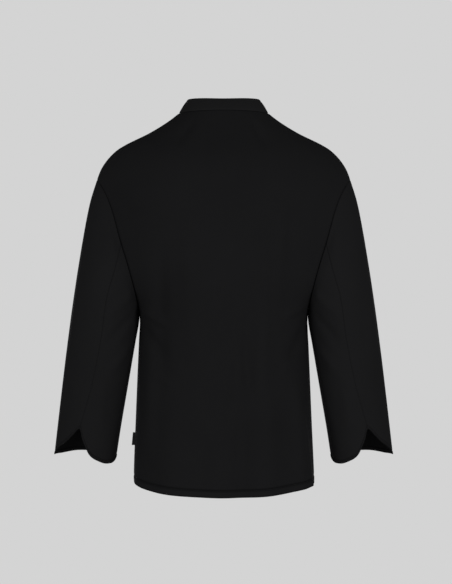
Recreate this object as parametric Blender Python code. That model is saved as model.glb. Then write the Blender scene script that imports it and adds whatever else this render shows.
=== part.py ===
"""Chef jacket in its worn, hollow shape, in metres.

+Z is up, the wearer faces -Y and the wearer's left is +X.  The origin is on the
jacket's middle line, level with the two points where collar and shoulder seams meet.
"""

import math
from collections import namedtuple

import bmesh
import bpy
import numpy as np

# ---- walls and gaps ----
WALL = 0.0015
COLLAR_WALL = 0.0024
SEAM_GAP = 0.0003
ARMHOLE_GAP = 0.0005
COLLAR_GAP = 0.0006
OVERLAP_LIFT = 0.0021

# ---- how finely the cloth is cut into facets ----
SIDE_ROWS = 9
SHOULDER_ROWS = 6
HALF_BACK_COLUMNS = 11
HALF_FRONT_COLUMNS = 9
OVERLAP_COLUMNS = 4
SLEEVE_ROWS = 15
COLLAR_ROWS = 3
SHARP_ANGLE = math.radians(40)

# ---- how places on the form are searched for ----
HALVINGS = 40
PROBE_STEP = 1e-3
SAME_ANGLE = 1e-6

# ---- body ----
UNDERARM = (0.1642, 0.0, -0.388)
SIDE_HEM_Z = -0.7195
ELLIPSE_PULL = 0.5523
# The hem dips beside each side seam by this many degrees, up to this stage.
HEM_TURN = 10.3
HEM_REACH = 0.12

# The side seam, upwards from the hem: share of its height, half width of the jacket there.
SideStation = namedtuple("SideStation", "share half_width")
SIDE_SEAM = (
    SideStation(0.00, 0.1753),
    SideStation(0.045, 0.1761),
    SideStation(0.115, 0.1755),
    SideStation(0.357, 0.1724),
    SideStation(0.594, 0.1693),
    SideStation(0.83, 0.1660),
    SideStation(0.949, 0.1644),
    SideStation(1.00, UNDERARM[0]),
)

# The shoulder seam, from the tip of the shoulder in to the neck.
ShoulderStation = namedtuple("ShoulderStation", "share x z")
SHOULDER_SEAM = (
    ShoulderStation(0.00, 0.2482, -0.1300),
    ShoulderStation(0.08, 0.2412, -0.1115),
    ShoulderStation(0.17, 0.2282, -0.0914),
    ShoulderStation(0.28, 0.2086, -0.0721),
    ShoulderStation(0.38, 0.1936, -0.0628),
    ShoulderStation(0.64, 0.1440, -0.0382),
    ShoulderStation(0.88, 0.1040, -0.0130),
    ShoulderStation(1.00, 0.0875, 0.0000),
)

# The middle lines of back and front, at stages 0 hem, 1 underarm, 2 shoulder tip, 3 neck.
# Each pull says how full the cloth is towards the side and towards the middle.
MiddleStation = namedtuple("MiddleStation", "stage y z side_pull middle_pull")
BACK_MIDDLE = (
    MiddleStation(0.00, 0.112, -0.7407, 0.560, 0.560),
    MiddleStation(0.35, 0.107, -0.6150, 0.570, 0.580),
    MiddleStation(0.70, 0.106, -0.4940, 0.580, 0.600),
    MiddleStation(1.00, 0.111, -0.3930, 0.570, 0.620),
    MiddleStation(1.30, 0.119, -0.3260, 0.530, 0.620),
    MiddleStation(1.60, 0.124, -0.2360, 0.490, 0.600),
    MiddleStation(2.00, 0.117, -0.1480, 0.460, 0.580),
    MiddleStation(2.30, 0.105, -0.0960, 0.490, 0.560),
    MiddleStation(2.60, 0.086, -0.0530, 0.540, 0.550),
    MiddleStation(3.00, 0.062, 0.0015, 0.560, 0.540),
)
FRONT_MIDDLE = (
    MiddleStation(0.00, -0.125, -0.7370, 0.560, 0.560),
    MiddleStation(0.35, -0.122, -0.6140, 0.570, 0.580),
    MiddleStation(0.70, -0.124, -0.4930, 0.580, 0.600),
    MiddleStation(1.00, -0.128, -0.3930, 0.570, 0.620),
    MiddleStation(1.30, -0.130, -0.3280, 0.530, 0.620),
    MiddleStation(1.60, -0.124, -0.2500, 0.490, 0.600),
    MiddleStation(2.00, -0.110, -0.1850, 0.460, 0.580),
    MiddleStation(2.30, -0.100, -0.1460, 0.500, 0.560),
    MiddleStation(2.60, -0.088, -0.1110, 0.550, 0.550),
    MiddleStation(3.00, -0.075, -0.0650, 0.560, 0.540),
)
NECKLINE_DIP = 0.30

# Soft folds in the back, each a line from its upper end to the hem.
Fold = namedtuple("Fold", "top_x top_z hem_x half_width height")
BACK_FOLDS = (
    Fold(-0.084, -0.500, -0.078, 0.026, 0.0056),
    Fold(-0.034, -0.580, -0.034, 0.018, -0.0046),
    Fold(-0.138, -0.500, -0.158, 0.014, 0.0044),
    Fold(0.098, -0.540, 0.104, 0.024, 0.0040),
)
FOLD_FADE = 0.14

# ---- armhole, an oval loop round the top of the sleeve ----
ARMHOLE_CENTRE = np.array((0.2062, 0.0, -0.2590))
ARMHOLE_RISE = np.array((0.0420, 0.0, 0.1290))
ARMHOLE_REACH = np.array((0.0, 0.066, 0.0))
ARMHOLE_BACK = np.array((-0.0134, -0.002, -0.012))
ARMHOLE_FRONT = np.array((-0.0240, -0.006, -0.010))
ARMHOLE_SCOOP = 0.0065
# How the body's rows leave the armhole: degrees away from straight back or forwards,
# at its tip and underarm and at its middle, and how far the first of these still tells.
CORNER_TURN = 35.0
ARMHOLE_SPREAD = 1.3
ARMHOLE_TURN = 60.0
CORNER_REACH = 0.45
CORNER_ANGLE = 60.0
SEAM_STEP = 0.01

# ---- sleeve ----
BACK_SEAM_TOP = 84.0
FRONT_SEAM = 235.0
BACK_TOP_COLUMNS = 5
BACK_LOW_COLUMNS = 5
FRONT_LOW_COLUMNS = 3
FRONT_TOP_COLUMNS = 7
ARMHOLE_REACH_SHARE = 0.30

# Rings down the sleeve: outermost and innermost points, half depth, how far forward.
SleeveRing = namedtuple("SleeveRing", "share outer_x outer_z inner_x inner_z half_depth middle_y")
SLEEVE_RINGS = (
    SleeveRing(0.00, 0.2482, -0.1300, 0.1642, -0.3880, 0.0660, 0.000),
    SleeveRing(0.08, 0.2612, -0.1730, 0.1664, -0.4114, 0.0690, 0.002),
    SleeveRing(0.20, 0.2738, -0.2370, 0.1724, -0.4464, 0.0695, 0.004),
    SleeveRing(0.30, 0.2826, -0.2905, 0.1774, -0.4756, 0.0680, 0.004),
    SleeveRing(0.40, 0.2909, -0.3440, 0.1824, -0.5048, 0.0655, 0.003),
    SleeveRing(0.60, 0.3064, -0.4510, 0.1928, -0.5632, 0.0595, -0.003),
    SleeveRing(0.80, 0.3203, -0.5580, 0.2032, -0.6216, 0.0530, -0.013),
    SleeveRing(1.00, 0.3336, -0.6650, 0.2126, -0.6800, 0.0470, -0.024),
)

# The back seam swings outwards on its way down to the vent.
SeamStation = namedtuple("SeamStation", "share angle")
BACK_SEAM = (
    SeamStation(0.000, BACK_SEAM_TOP),
    SeamStation(0.186, 89.5),
    SeamStation(0.414, 93.0),
    SeamStation(0.649, 88.8),
    SeamStation(0.800, 81.0),
    SeamStation(0.877, 76.7),
    SeamStation(1.100, 76.7),
)

# Where the cloth ends round the cuff: the vent's V at the back seam, then the rounded flap.
CuffStation = namedtuple("CuffStation", "angle share")
CUFF_EDGE = (
    CuffStation(-125.0, 0.975),
    CuffStation(-90.0, 0.986),
    CuffStation(-76.0, 0.990),
    CuffStation(-31.0, 1.008),
    CuffStation(0.0, 1.010),
    CuffStation(30.0, 0.979),
    CuffStation(50.0, 0.951),
    CuffStation(65.0, 0.912),
    CuffStation(76.7, 0.877),
    CuffStation(84.0, 0.917),
    CuffStation(92.0, 0.952),
    CuffStation(97.0, 0.974),
    CuffStation(104.0, 0.993),
    CuffStation(114.0, 1.007),
    CuffStation(137.0, 1.024),
    CuffStation(152.0, 1.021),
    CuffStation(165.0, 1.006),
    CuffStation(180.0, 0.982),
    CuffStation(235.0, 0.975),
)

# ---- collar ----
COLLAR_HEIGHT = 0.0322
COLLAR_END_RADIUS = 0.009
COLLAR_CORNER_SHARES = (0.12, 0.42, 1.0)
COLLAR_HALF_SPLIT = 0.0012
# How far the collar leans in from upright, in degrees, by where it stands.
COLLAR_LEAN_BACK = 42.0
COLLAR_LEAN_SIDE = 32.0
COLLAR_LEAN_FRONT = 13.0

# ---- front overlap and its buttons ----
OVERLAP_HALF = 0.085
OVERLAP_TOP_HALF = 0.044
OVERLAP_TAPER_STAGE = 2.3
LIFT_START = 0.043
LIFT_FULL = 0.024
BUTTON_X = 0.068
BUTTON_TOP_Z = -0.130
BUTTON_PITCH = 0.085
BUTTON_COUNT = 5
BUTTON_RADIUS = 0.010
BUTTON_THICKNESS = 0.0032
BUTTON_BEVEL = 0.0007
BUTTON_SIDES = 18
BUTTON_GAP = 0.0004

# ---- folded tab in the left side seam ----
TAB_TOP_Z = -0.625
TAB_HEIGHT = 0.025
TAB_REACH = 0.0046
TAB_FLARE = 0.0012
TAB_THICKNESS = 0.0016

Finish = namedtuple("Finish", "name colour roughness metallic")
BODY_CLOTH = Finish("body_cloth", (0.012, 0.012, 0.013), 0.92, 0.0)
SLEEVE_CLOTH = Finish("sleeve_cloth", (0.013, 0.013, 0.014), 0.92, 0.0)
COLLAR_CLOTH = Finish("collar_cloth", (0.013, 0.013, 0.013), 0.92, 0.0)
BUTTON_PLASTIC = Finish("button_plastic", (0.015, 0.015, 0.015), 0.42, 0.0)
TAB_RIBBON = Finish("tab_ribbon", (0.020, 0.020, 0.020), 0.80, 0.0)


# ---------------------------------------------------------------- numbers
def smooth(stations, key, value, at):
    """A monotone cubic curve through two columns of a table, read at one place."""
    x = np.array([getattr(s, key) for s in stations], float)
    y = np.array([getattr(s, value) for s in stations], float)
    step = np.diff(x)
    slope = np.diff(y) / step
    turn = np.zeros(len(x))
    turn[0] = slope[0]
    turn[-1] = slope[-1]
    for i in range(1, len(x) - 1):
        if slope[i - 1] * slope[i] > 0:
            before = 2 * step[i] + step[i - 1]
            after = step[i] + 2 * step[i - 1]
            turn[i] = (before + after) / (before / slope[i - 1] + after / slope[i])
    i = int(np.clip(np.searchsorted(x, at) - 1, 0, len(step) - 1))
    t = (at - x[i]) / step[i]
    return float(
        y[i] * (1 + 2 * t) * (1 - t) ** 2
        + turn[i] * step[i] * t * (1 - t) ** 2
        + y[i + 1] * t * t * (3 - 2 * t)
        + turn[i + 1] * step[i] * t * t * (t - 1)
    )


def ease(value):
    """0 below 0, 1 above 1, with a soft curve between."""
    t = min(max(value, 0.0), 1.0)
    return t * t * (3 - 2 * t)


def unit(vectors):
    """The same vectors, each one long."""
    return vectors / np.linalg.norm(vectors, axis=-1, keepdims=True)


def grid_normals(grid):
    """Outward unit normals of a grid of points that goes round the jacket's own inside."""
    across = np.gradient(grid, axis=1)
    along = np.gradient(grid, axis=0)
    normals = unit(np.cross(across, along))
    middle = grid.mean(axis=(0, 1))
    rows, columns = grid.shape[:2]
    heart = normals[rows // 2, columns // 2]
    ends = (grid[rows // 2, 0] + grid[rows // 2, -1]) / 2
    outwards = grid[rows // 2, columns // 2] - ends
    return normals if heart @ outwards > 0 or heart @ (middle - ends) > 0 else -normals


# ---------------------------------------------------------------- the form
def armhole(angle):
    """A point of the left armhole: 0 is the shoulder tip, 90 the back, 180 the underarm."""
    a = math.radians(angle)
    swing = ARMHOLE_BACK if math.sin(a) > 0 else ARMHOLE_FRONT
    point = ARMHOLE_CENTRE + ARMHOLE_RISE * math.cos(a) + ARMHOLE_REACH * math.sin(a)
    point = point + swing * math.sin(a) ** 2
    if math.cos(a) > 0:
        point = point - np.array((ARMHOLE_SCOOP, 0, 0)) * math.sin(2 * a) ** 2
    return point


def side_point(share):
    """A point of the left side seam, 0 at the hem and 1 at the underarm."""
    z = SIDE_HEM_Z + (UNDERARM[2] - SIDE_HEM_Z) * share
    return np.array((smooth(SIDE_SEAM, "share", "half_width", share), 0.0, z))


def shoulder_point(share):
    """A point of the left shoulder seam, 0 at the tip and 1 at the neck."""
    x = smooth(SHOULDER_SEAM, "share", "x", share)
    return np.array((x, 0.0, smooth(SHOULDER_SEAM, "share", "z", share)))


def seam_way(point_at, share, step):
    """The way a seam runs at one place, in steps of this sign."""
    return unit(point_at(min(max(share + step, 0.0), 1.0)) - point_at(share))


def edge_of(stage, facing):
    """The panel's outer edge and the way it leaves it; facing is 1 at the back, -1 in front."""
    if stage <= 1:
        turn = CORNER_TURN * ease((stage - 1 + CORNER_REACH) / CORNER_REACH)
        turn = math.radians(turn + HEM_TURN * (1 - ease(stage / HEM_REACH)))
        along = seam_way(side_point, max(stage, SEAM_STEP), -SEAM_STEP)
        outwards = np.array((0.0, facing, 0.0))
        return side_point(stage), unit(outwards * math.cos(turn) + along * math.sin(turn))
    if stage >= 2:
        share = stage - 2
        turn = math.radians(CORNER_TURN * ease(1 - share / CORNER_REACH))
        along = seam_way(shoulder_point, min(share, 1 - SEAM_STEP), SEAM_STEP)
        outwards = unit(np.array((0.0, facing, -dip_of(share, facing))))
        return shoulder_point(share), unit(outwards * math.cos(turn) + along * math.sin(turn))
    angle = 180 * (2 - stage)
    inwards = np.array((-1.0, 0.0, 0.0))
    top = 1 - ease(angle / CORNER_ANGLE)
    bottom = 1 - ease((180 - angle) / CORNER_ANGLE)
    upwards = seam_way(shoulder_point, 0.0, SEAM_STEP)
    downwards = seam_way(side_point, 1.0, -SEAM_STEP)
    inwards = unit(inwards * (1 - top - bottom) + upwards * top + downwards * bottom)
    middle_share = math.sin(math.radians(angle)) ** ARMHOLE_SPREAD
    turn = math.radians(CORNER_TURN + (ARMHOLE_TURN - CORNER_TURN) * middle_share)
    away = np.array((0.0, facing, 0.0)) * math.cos(turn) + inwards * math.sin(turn)
    return armhole(angle if facing > 0 else -angle), unit(away)


def dip_of(share, facing):
    """How steeply the cloth falls away from the shoulder seam; most at the front neckline."""
    return NECKLINE_DIP * ease(share) if facing < 0 else 0.0


def panel_point(stage, across, facing):
    """A point of the body's outer face; across runs from -1 at the right edge to 1 at the left."""
    table = BACK_MIDDLE if facing > 0 else FRONT_MIDDLE
    edge, away = edge_of(stage, facing)
    middle_y = smooth(table, "stage", "y", stage)
    middle = np.array((0.0, middle_y, smooth(table, "stage", "z", stage)))
    reach = abs(middle_y - edge[1]) + (1 - abs(away[1])) * edge[0] * ELLIPSE_PULL
    side_handle = edge + away * reach * smooth(table, "stage", "side_pull", stage)
    pull = edge[0] * smooth(table, "stage", "middle_pull", stage)
    middle_handle = middle + np.array((pull, 0.0, 0.0))
    t = 1 - abs(across)
    point = (
        edge * (1 - t) ** 3
        + side_handle * 3 * t * (1 - t) ** 2
        + middle_handle * 3 * t * t * (1 - t)
        + middle * t**3
    )
    return point * np.array((1.0 if across >= 0 else -1.0, 1.0, 1.0))


def sleeve_seam_angle(share):
    """The back seam's angle round the sleeve, part of the way down."""
    return smooth(BACK_SEAM, "share", "angle", share)


def bent(angle, share):
    """Where a column that starts at this angle has swung to, as it follows the back seam."""
    seam = sleeve_seam_angle(share)
    if 0 < angle <= BACK_SEAM_TOP:
        return angle * seam / BACK_SEAM_TOP
    if BACK_SEAM_TOP < angle < 180:
        return 180 - (180 - angle) * (180 - seam) / (180 - BACK_SEAM_TOP)
    return angle


def ring_point(share, angle):
    """A point of the left sleeve's outer face on its oval ring."""
    ring = {f: smooth(SLEEVE_RINGS, "share", f, share) for f in SleeveRing._fields[1:]}
    outer = np.array((ring["outer_x"], 0.0, ring["outer_z"]))
    inner = np.array((ring["inner_x"], 0.0, ring["inner_z"]))
    a = math.radians(angle)
    centre = (outer + inner) / 2 + np.array((0.0, ring["middle_y"], 0.0))
    reach = np.array((0.0, ring["half_depth"], 0.0))
    return centre + (outer - inner) / 2 * math.cos(a) + reach * math.sin(a)


def sleeve_point(start_angle, down):
    """A point of the left sleeve; down runs from 0 at the armhole to 1 at the cuff's edge."""
    end_angle = bent(start_angle, 1.0)
    share = down * smooth(CUFF_EDGE, "angle", "share", end_angle)
    angle = bent(start_angle, share)
    near = 1 - ease(share / ARMHOLE_REACH_SHARE)
    return ring_point(share, angle) + near * (armhole(angle) - ring_point(0.0, angle))


# ---------------------------------------------------------------- grids
def spread(start, end, count):
    """Evenly spaced numbers from start up to, but not at, end."""
    return [start + (end - start) * i / count for i in range(count)]


def back_angles():
    """Column angles of the sleeve over the back, from the shoulder tip to the underarm."""
    top = spread(0.0, BACK_SEAM_TOP, BACK_TOP_COLUMNS)
    return top + spread(BACK_SEAM_TOP, 180.0, BACK_LOW_COLUMNS) + [180.0]


def front_angles():
    """Column angles of the sleeve over the front, from the underarm to the shoulder tip."""
    low = spread(180.0, FRONT_SEAM, FRONT_LOW_COLUMNS)
    return low + spread(FRONT_SEAM, 360.0, FRONT_TOP_COLUMNS) + [360.0]


def stages(facing):
    """The body's rows, from hem to neck; at the armhole they match the sleeve's columns."""
    side = spread(0.0, 1.0, SIDE_ROWS)
    if facing > 0:
        hole = [2 - angle / 180 for angle in reversed(back_angles())]
    else:
        hole = [angle / 180 for angle in front_angles()]
    return side + hole[:-1] + spread(2.0, 3.0, SHOULDER_ROWS) + [3.0]


def fold_height(x, z):
    """How far the soft folds stand out of the back."""
    height = 0.0
    for fold in BACK_FOLDS:
        down = (fold.top_z - z) / (fold.top_z - SIDE_HEM_Z)
        line = fold.top_x + (fold.hem_x - fold.top_x) * down
        fade = ease((fold.top_z - z) / FOLD_FADE)
        height += fold.height * fade * math.exp(-(((x - line) / fold.half_width) ** 2))
    return height


def overlap_edge(stage):
    """How far past the middle a front reaches."""
    taper = ease((stage - OVERLAP_TAPER_STAGE) / (3 - OVERLAP_TAPER_STAGE))
    return OVERLAP_HALF + (OVERLAP_TOP_HALF - OVERLAP_HALF) * taper


def across_at(stage, x):
    """The share across the front at which a row passes this x."""
    low, high = -1.0, 1.0
    for _ in range(HALVINGS):
        middle = (low + high) / 2
        if panel_point(stage, middle, -1)[0] < x:
            low = middle
        else:
            high = middle
    return (low + high) / 2


def back_grid():
    """The back, in rows from hem to neck and columns from the right to the left."""
    count = HALF_BACK_COLUMNS
    columns = [i / count for i in range(-count, count + 1)]
    return np.array([[panel_point(s, c, 1) for c in columns] for s in stages(1)])


def front_grid():
    """A front, from its free edge past the middle out to the left side."""
    rows = []
    for stage in stages(-1):
        free = across_at(stage, -overlap_edge(stage))
        columns = spread(free, 0.0, OVERLAP_COLUMNS) + spread(0.0, 1.0, HALF_FRONT_COLUMNS)
        rows.append([panel_point(stage, c, -1) for c in columns + [1.0]])
    return np.array(rows)


def sleeve_grid(angles):
    """Rows down the sleeve from armhole to cuff, columns at these angles."""
    downs = [i / SLEEVE_ROWS for i in range(SLEEVE_ROWS + 1)]
    return np.array([[sleeve_point(a, d) for a in angles] for d in downs])


def pulled_back(grid, axis, last, gap):
    """The grid with one border row or column moved towards its neighbour by gap."""
    grid = grid.copy()
    lines = np.moveaxis(grid, axis, 0)
    border, neighbour = (-1, -2) if last else (0, 1)
    lines[border] += unit(lines[neighbour] - lines[border]) * gap
    return grid


def lifted_back(grid, normals):
    """The back with its soft folds."""
    height = [[fold_height(p[0], p[2]) for p in row] for row in grid]
    return grid + normals * np.array(height)[..., None]


def lifted_front(grid, normals):
    """The outer front, raised where it lies on the other one."""
    height = []
    for stage, row in zip(stages(-1), grid):
        edge = overlap_edge(stage)
        start, full = edge + LIFT_START, edge + LIFT_FULL
        height.append([OVERLAP_LIFT * ease((start - p[0]) / (start - full)) for p in row])
    return grid + normals * np.array(height)[..., None]


# ---------------------------------------------------------------- meshes
def clear_scene():
    """Removes whatever the scene starts with."""
    for obj in list(bpy.data.objects):
        bpy.data.objects.remove(obj, do_unlink=True)


def material_of(finish):
    """The material of a finish, made the first time it is asked for."""
    found = bpy.data.materials.get(finish.name)
    if found:
        return found
    material = bpy.data.materials.new(finish.name)
    material.use_nodes = True
    shader = material.node_tree.nodes["Principled BSDF"]
    shader.inputs["Base Color"].default_value = (*finish.colour, 1.0)
    shader.inputs["Roughness"].default_value = finish.roughness
    shader.inputs["Metallic"].default_value = finish.metallic
    material.diffuse_color = (*finish.colour, 1.0)
    return material


def add_object(name, points, faces, finish):
    """A named object from points and faces, with its normals outwards and smooth shading."""
    mesh = bpy.data.meshes.new(name)
    mesh.from_pydata([tuple(p) for p in points], [], faces)
    shape = bmesh.new()
    shape.from_mesh(mesh)
    bmesh.ops.recalc_face_normals(shape, faces=shape.faces)
    if shape.calc_volume(signed=True) < 0:
        bmesh.ops.reverse_faces(shape, faces=shape.faces)
    shape.to_mesh(mesh)
    shape.free()
    mesh.materials.append(material_of(finish))
    mesh.shade_smooth()
    mesh.set_sharp_from_angle(angle=SHARP_ANGLE)
    obj = bpy.data.objects.new(name, mesh)
    bpy.context.scene.collection.objects.link(obj)
    return obj


def wall_faces(rows, columns):
    """Triangles of a closed wall: an outer grid, an inner one and the rim between them."""
    inner = rows * columns
    faces = []
    for r in range(rows - 1):
        for c in range(columns - 1):
            a = r * columns + c
            b, d = a + 1, a + columns
            e = d + 1
            faces += [(a, b, e), (a, e, d)]
            faces += [(inner + a, inner + e, inner + b), (inner + a, inner + d, inner + e)]
    rim = [c for c in range(columns - 1)]
    rim += [r * columns + columns - 1 for r in range(rows - 1)]
    rim += [(rows - 1) * columns + c for c in range(columns - 1, 0, -1)]
    rim += [r * columns for r in range(rows - 1, 0, -1)]
    for p, q in zip(rim, rim[1:] + rim[:1]):
        faces += [(p, inner + q, q), (p, inner + p, inner + q)]
    return faces


def add_wall(name, outer, normals, thickness, finish, mirrored=False):
    """A panel of even thickness, under its outer face."""
    flip = np.array((-1.0, 1.0, 1.0)) if mirrored else np.ones(3)
    points = np.concatenate(
        [(outer * flip).reshape(-1, 3), ((outer - normals * thickness) * flip).reshape(-1, 3)]
    )
    return add_object(name, points, wall_faces(*outer.shape[:2]), finish)


# ---------------------------------------------------------------- pieces
def joined_normals(back, front):
    """Normals of back and front, the same for both along side and shoulder seams."""
    back_normals = grid_normals(back)
    front_normals = grid_normals(front)
    rows = [i for i, s in enumerate(stages(1)) if s <= 1 or s >= 2]
    shared = unit(back_normals[rows, -1] + front_normals[rows, -1])
    mirror = np.array((-1.0, 1.0, 1.0))
    back_normals[rows, -1] = shared
    back_normals[rows, 0] = shared * mirror
    front_normals[rows, -1] = shared
    return back_normals, front_normals


def build_body():
    """Back, outer left front and under right front."""
    back, front = back_grid(), front_grid()
    back_normals, front_normals = joined_normals(back, front)
    folded = lifted_back(back, back_normals)
    folded_normals = grid_normals(folded)
    folded_normals[:, 0] = back_normals[:, 0]
    folded_normals[:, -1] = back_normals[:, -1]
    raised = lifted_front(front, front_normals)
    half = SEAM_GAP / 2
    folded = pulled_back(pulled_back(folded, 1, False, half), 1, True, half)
    add_wall("back", folded, folded_normals, WALL, BODY_CLOTH)
    add_wall("front_left", pulled_back(raised, 1, True, half), front_normals, WALL, BODY_CLOTH)
    under = pulled_back(front, 1, True, half)
    add_wall("front_right", under, front_normals, WALL, BODY_CLOTH, mirrored=True)


def build_sleeves():
    """Upper and under sleeve on each side, with the vent at the foot of their back seam."""
    upper_angles = [a - 360 for a in front_angles() if a >= FRONT_SEAM - SAME_ANGLE]
    upper_angles = upper_angles[:-1] + [a for a in back_angles() if a <= BACK_SEAM_TOP + SAME_ANGLE]
    under_angles = [a for a in back_angles() if a >= BACK_SEAM_TOP - SAME_ANGLE]
    under_angles += [a for a in front_angles() if 180 < a <= FRONT_SEAM + SAME_ANGLE]
    upper, under = sleeve_grid(upper_angles), sleeve_grid(under_angles)
    upper_normals, under_normals = grid_normals(upper), grid_normals(under)
    back_shared = unit(upper_normals[:, -1] + under_normals[:, 0])
    front_shared = unit(upper_normals[:, 0] + under_normals[:, -1])
    upper_normals[:, -1] = under_normals[:, 0] = back_shared
    upper_normals[:, 0] = under_normals[:, -1] = front_shared
    for name, grid, normals in (
        ("sleeve_upper", upper, upper_normals),
        ("sleeve_under", under, under_normals),
    ):
        grid = pulled_back(grid, 0, False, ARMHOLE_GAP)
        grid = pulled_back(grid, 1, False, SEAM_GAP / 2)
        grid = pulled_back(grid, 1, True, SEAM_GAP / 2)
        add_wall(name + "_left", grid, normals, WALL, SLEEVE_CLOTH)
        add_wall(name + "_right", grid, normals, WALL, SLEEVE_CLOTH, mirrored=True)


def neckline():
    """Points of the neckline from the middle front round the left side to the middle back."""
    front = [panel_point(3.0, i / HALF_FRONT_COLUMNS, -1) for i in range(HALF_FRONT_COLUMNS + 1)]
    back = [panel_point(3.0, 1 - i / HALF_BACK_COLUMNS, 1) for i in range(1, HALF_BACK_COLUMNS + 1)]
    return front, back


def collar_grid():
    """The stand collar, from the middle front round the back, in rows from seam to top edge."""
    front, back = neckline()
    outwards = unit(front[1] - front[0])
    first = front[0] + outwards * COLLAR_HALF_SPLIT
    corner = [first + outwards * COLLAR_END_RADIUS * s for s in COLLAR_CORNER_SHARES]
    half = [first] + corner + front[2:] + back
    loop = half + [p * np.array((-1.0, 1.0, 1.0)) for p in reversed(half[:-1])]
    loop = np.array(loop)
    along = unit(np.gradient(loop, axis=0))
    rows = [[] for _ in range(COLLAR_ROWS + 1)]
    for point, way in zip(loop, along):
        end = first * np.array((math.copysign(1, point[0]), 1, 1))
        height = collar_height(np.linalg.norm(point - end))
        up = collar_up(point, way)
        for i, row in enumerate(rows):
            row.append(point + up * (COLLAR_GAP + height * i / COLLAR_ROWS))
    return np.array(rows)


def collar_height(distance):
    """The collar's height, less in the rounded corner at its end."""
    short = max(COLLAR_END_RADIUS - distance, 0.0)
    return COLLAR_HEIGHT - COLLAR_END_RADIUS + math.sqrt(COLLAR_END_RADIUS**2 - short**2)


def collar_up(point, way):
    """The way the collar rises from its seam: upright to the seam, then leant inwards."""
    level = unit(np.array((-way[1], way[0], 0.0)))
    inwards = level if level @ np.array((-point[0], -point[1], 0.0)) > 0 else -level
    round_share = abs(math.atan2(point[0], point[1])) / math.pi
    if round_share < 0.5:
        lean = COLLAR_LEAN_BACK + (COLLAR_LEAN_SIDE - COLLAR_LEAN_BACK) * ease(round_share * 2)
    else:
        lean = COLLAR_LEAN_SIDE + (COLLAR_LEAN_FRONT - COLLAR_LEAN_SIDE) * ease(round_share * 2 - 1)
    tilt = math.radians(lean)
    return math.cos(tilt) * np.array((0.0, 0.0, 1.0)) + math.sin(tilt) * inwards


def build_collar():
    """The stand collar."""
    grid = collar_grid()
    add_wall("collar", grid, grid_normals(grid), COLLAR_WALL, COLLAR_CLOTH)


def front_surface(x, z):
    """The outer front's face at this x and z, and the way it looks."""
    low, high = 0.0, 3.0
    for _ in range(HALVINGS):
        stage = (low + high) / 2
        if panel_point(stage, across_at(stage, x), -1)[2] < z:
            low = stage
        else:
            high = stage
    across = across_at(stage, x)
    point = panel_point(stage, across, -1)
    sideways = panel_point(stage, across + PROBE_STEP, -1) - point
    upwards = panel_point(stage + PROBE_STEP, across, -1) - point
    normal = unit(np.cross(sideways, upwards))
    normal = normal if normal[1] < 0 else -normal
    return point + normal * OVERLAP_LIFT, normal


def button_points(centre, normal):
    """Rings of a round button that stands on the cloth."""
    side = unit(np.cross(normal, np.array((0.0, 0.0, 1.0))))
    up = np.cross(side, normal)
    profile = (
        (BUTTON_RADIUS - BUTTON_BEVEL, 0.0),
        (BUTTON_RADIUS, BUTTON_BEVEL),
        (BUTTON_RADIUS, BUTTON_THICKNESS - BUTTON_BEVEL),
        (BUTTON_RADIUS - BUTTON_BEVEL, BUTTON_THICKNESS),
    )
    points = []
    for radius, height in profile:
        for i in range(BUTTON_SIDES):
            a = 2 * math.pi * i / BUTTON_SIDES
            rim = side * math.cos(a) + up * math.sin(a)
            points.append(centre + rim * radius + normal * (BUTTON_GAP + height))
    return points


def ring_faces(rings, sides):
    """Faces of stacked rings with a cap at each end."""
    faces = [tuple(range(sides)), tuple(range((rings - 1) * sides, rings * sides))]
    for r in range(rings - 1):
        for i in range(sides):
            j = (i + 1) % sides
            faces.append((r * sides + i, r * sides + j, (r + 1) * sides + j, (r + 1) * sides + i))
    return faces


def build_buttons():
    """Two rows down the front; the row on the wearer's right closes the overlap."""
    faces = ring_faces(4, BUTTON_SIDES)
    for side, x in (("left", BUTTON_X), ("right", -BUTTON_X)):
        for i in range(BUTTON_COUNT):
            point, normal = front_surface(x, BUTTON_TOP_Z - BUTTON_PITCH * i)
            name = f"button_{side}_{i + 1}"
            add_object(name, button_points(point, normal), faces, BUTTON_PLASTIC)


def build_tab():
    """A folded ribbon caught in the left side seam, a little wider at its lower corner."""
    points = []
    for down in (0.0, 1.0):
        z = TAB_TOP_Z - TAB_HEIGHT * down
        share = (z - SIDE_HEM_Z) / (UNDERARM[2] - SIDE_HEM_Z)
        start = side_point(share)[0] + SEAM_GAP
        end = start + TAB_REACH + TAB_FLARE * down
        for x in (start, end):
            for y in (-TAB_THICKNESS / 2, TAB_THICKNESS / 2):
                points.append((x, y, z))
    faces = [(0, 1, 3, 2), (4, 6, 7, 5), (0, 2, 6, 4), (1, 5, 7, 3), (0, 4, 5, 1), (2, 3, 7, 6)]
    add_object("side_tab", points, faces, TAB_RIBBON)


def main():
    clear_scene()
    build_body()
    build_sleeves()
    build_collar()
    build_buttons()
    build_tab()


main()
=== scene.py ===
"""The finished look of a plain black chef jacket, worn shape, seen from behind.

Metres, +Z up, the wearer faces -Y and the wearer's left is +X.
"""

from __future__ import annotations

import logging
import math
from dataclasses import dataclass, field, replace
from enum import Enum
from typing import Any, Callable, ClassVar, Optional

import bmesh
import bpy
import numpy as np
from mathutils import Matrix, Vector


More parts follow.
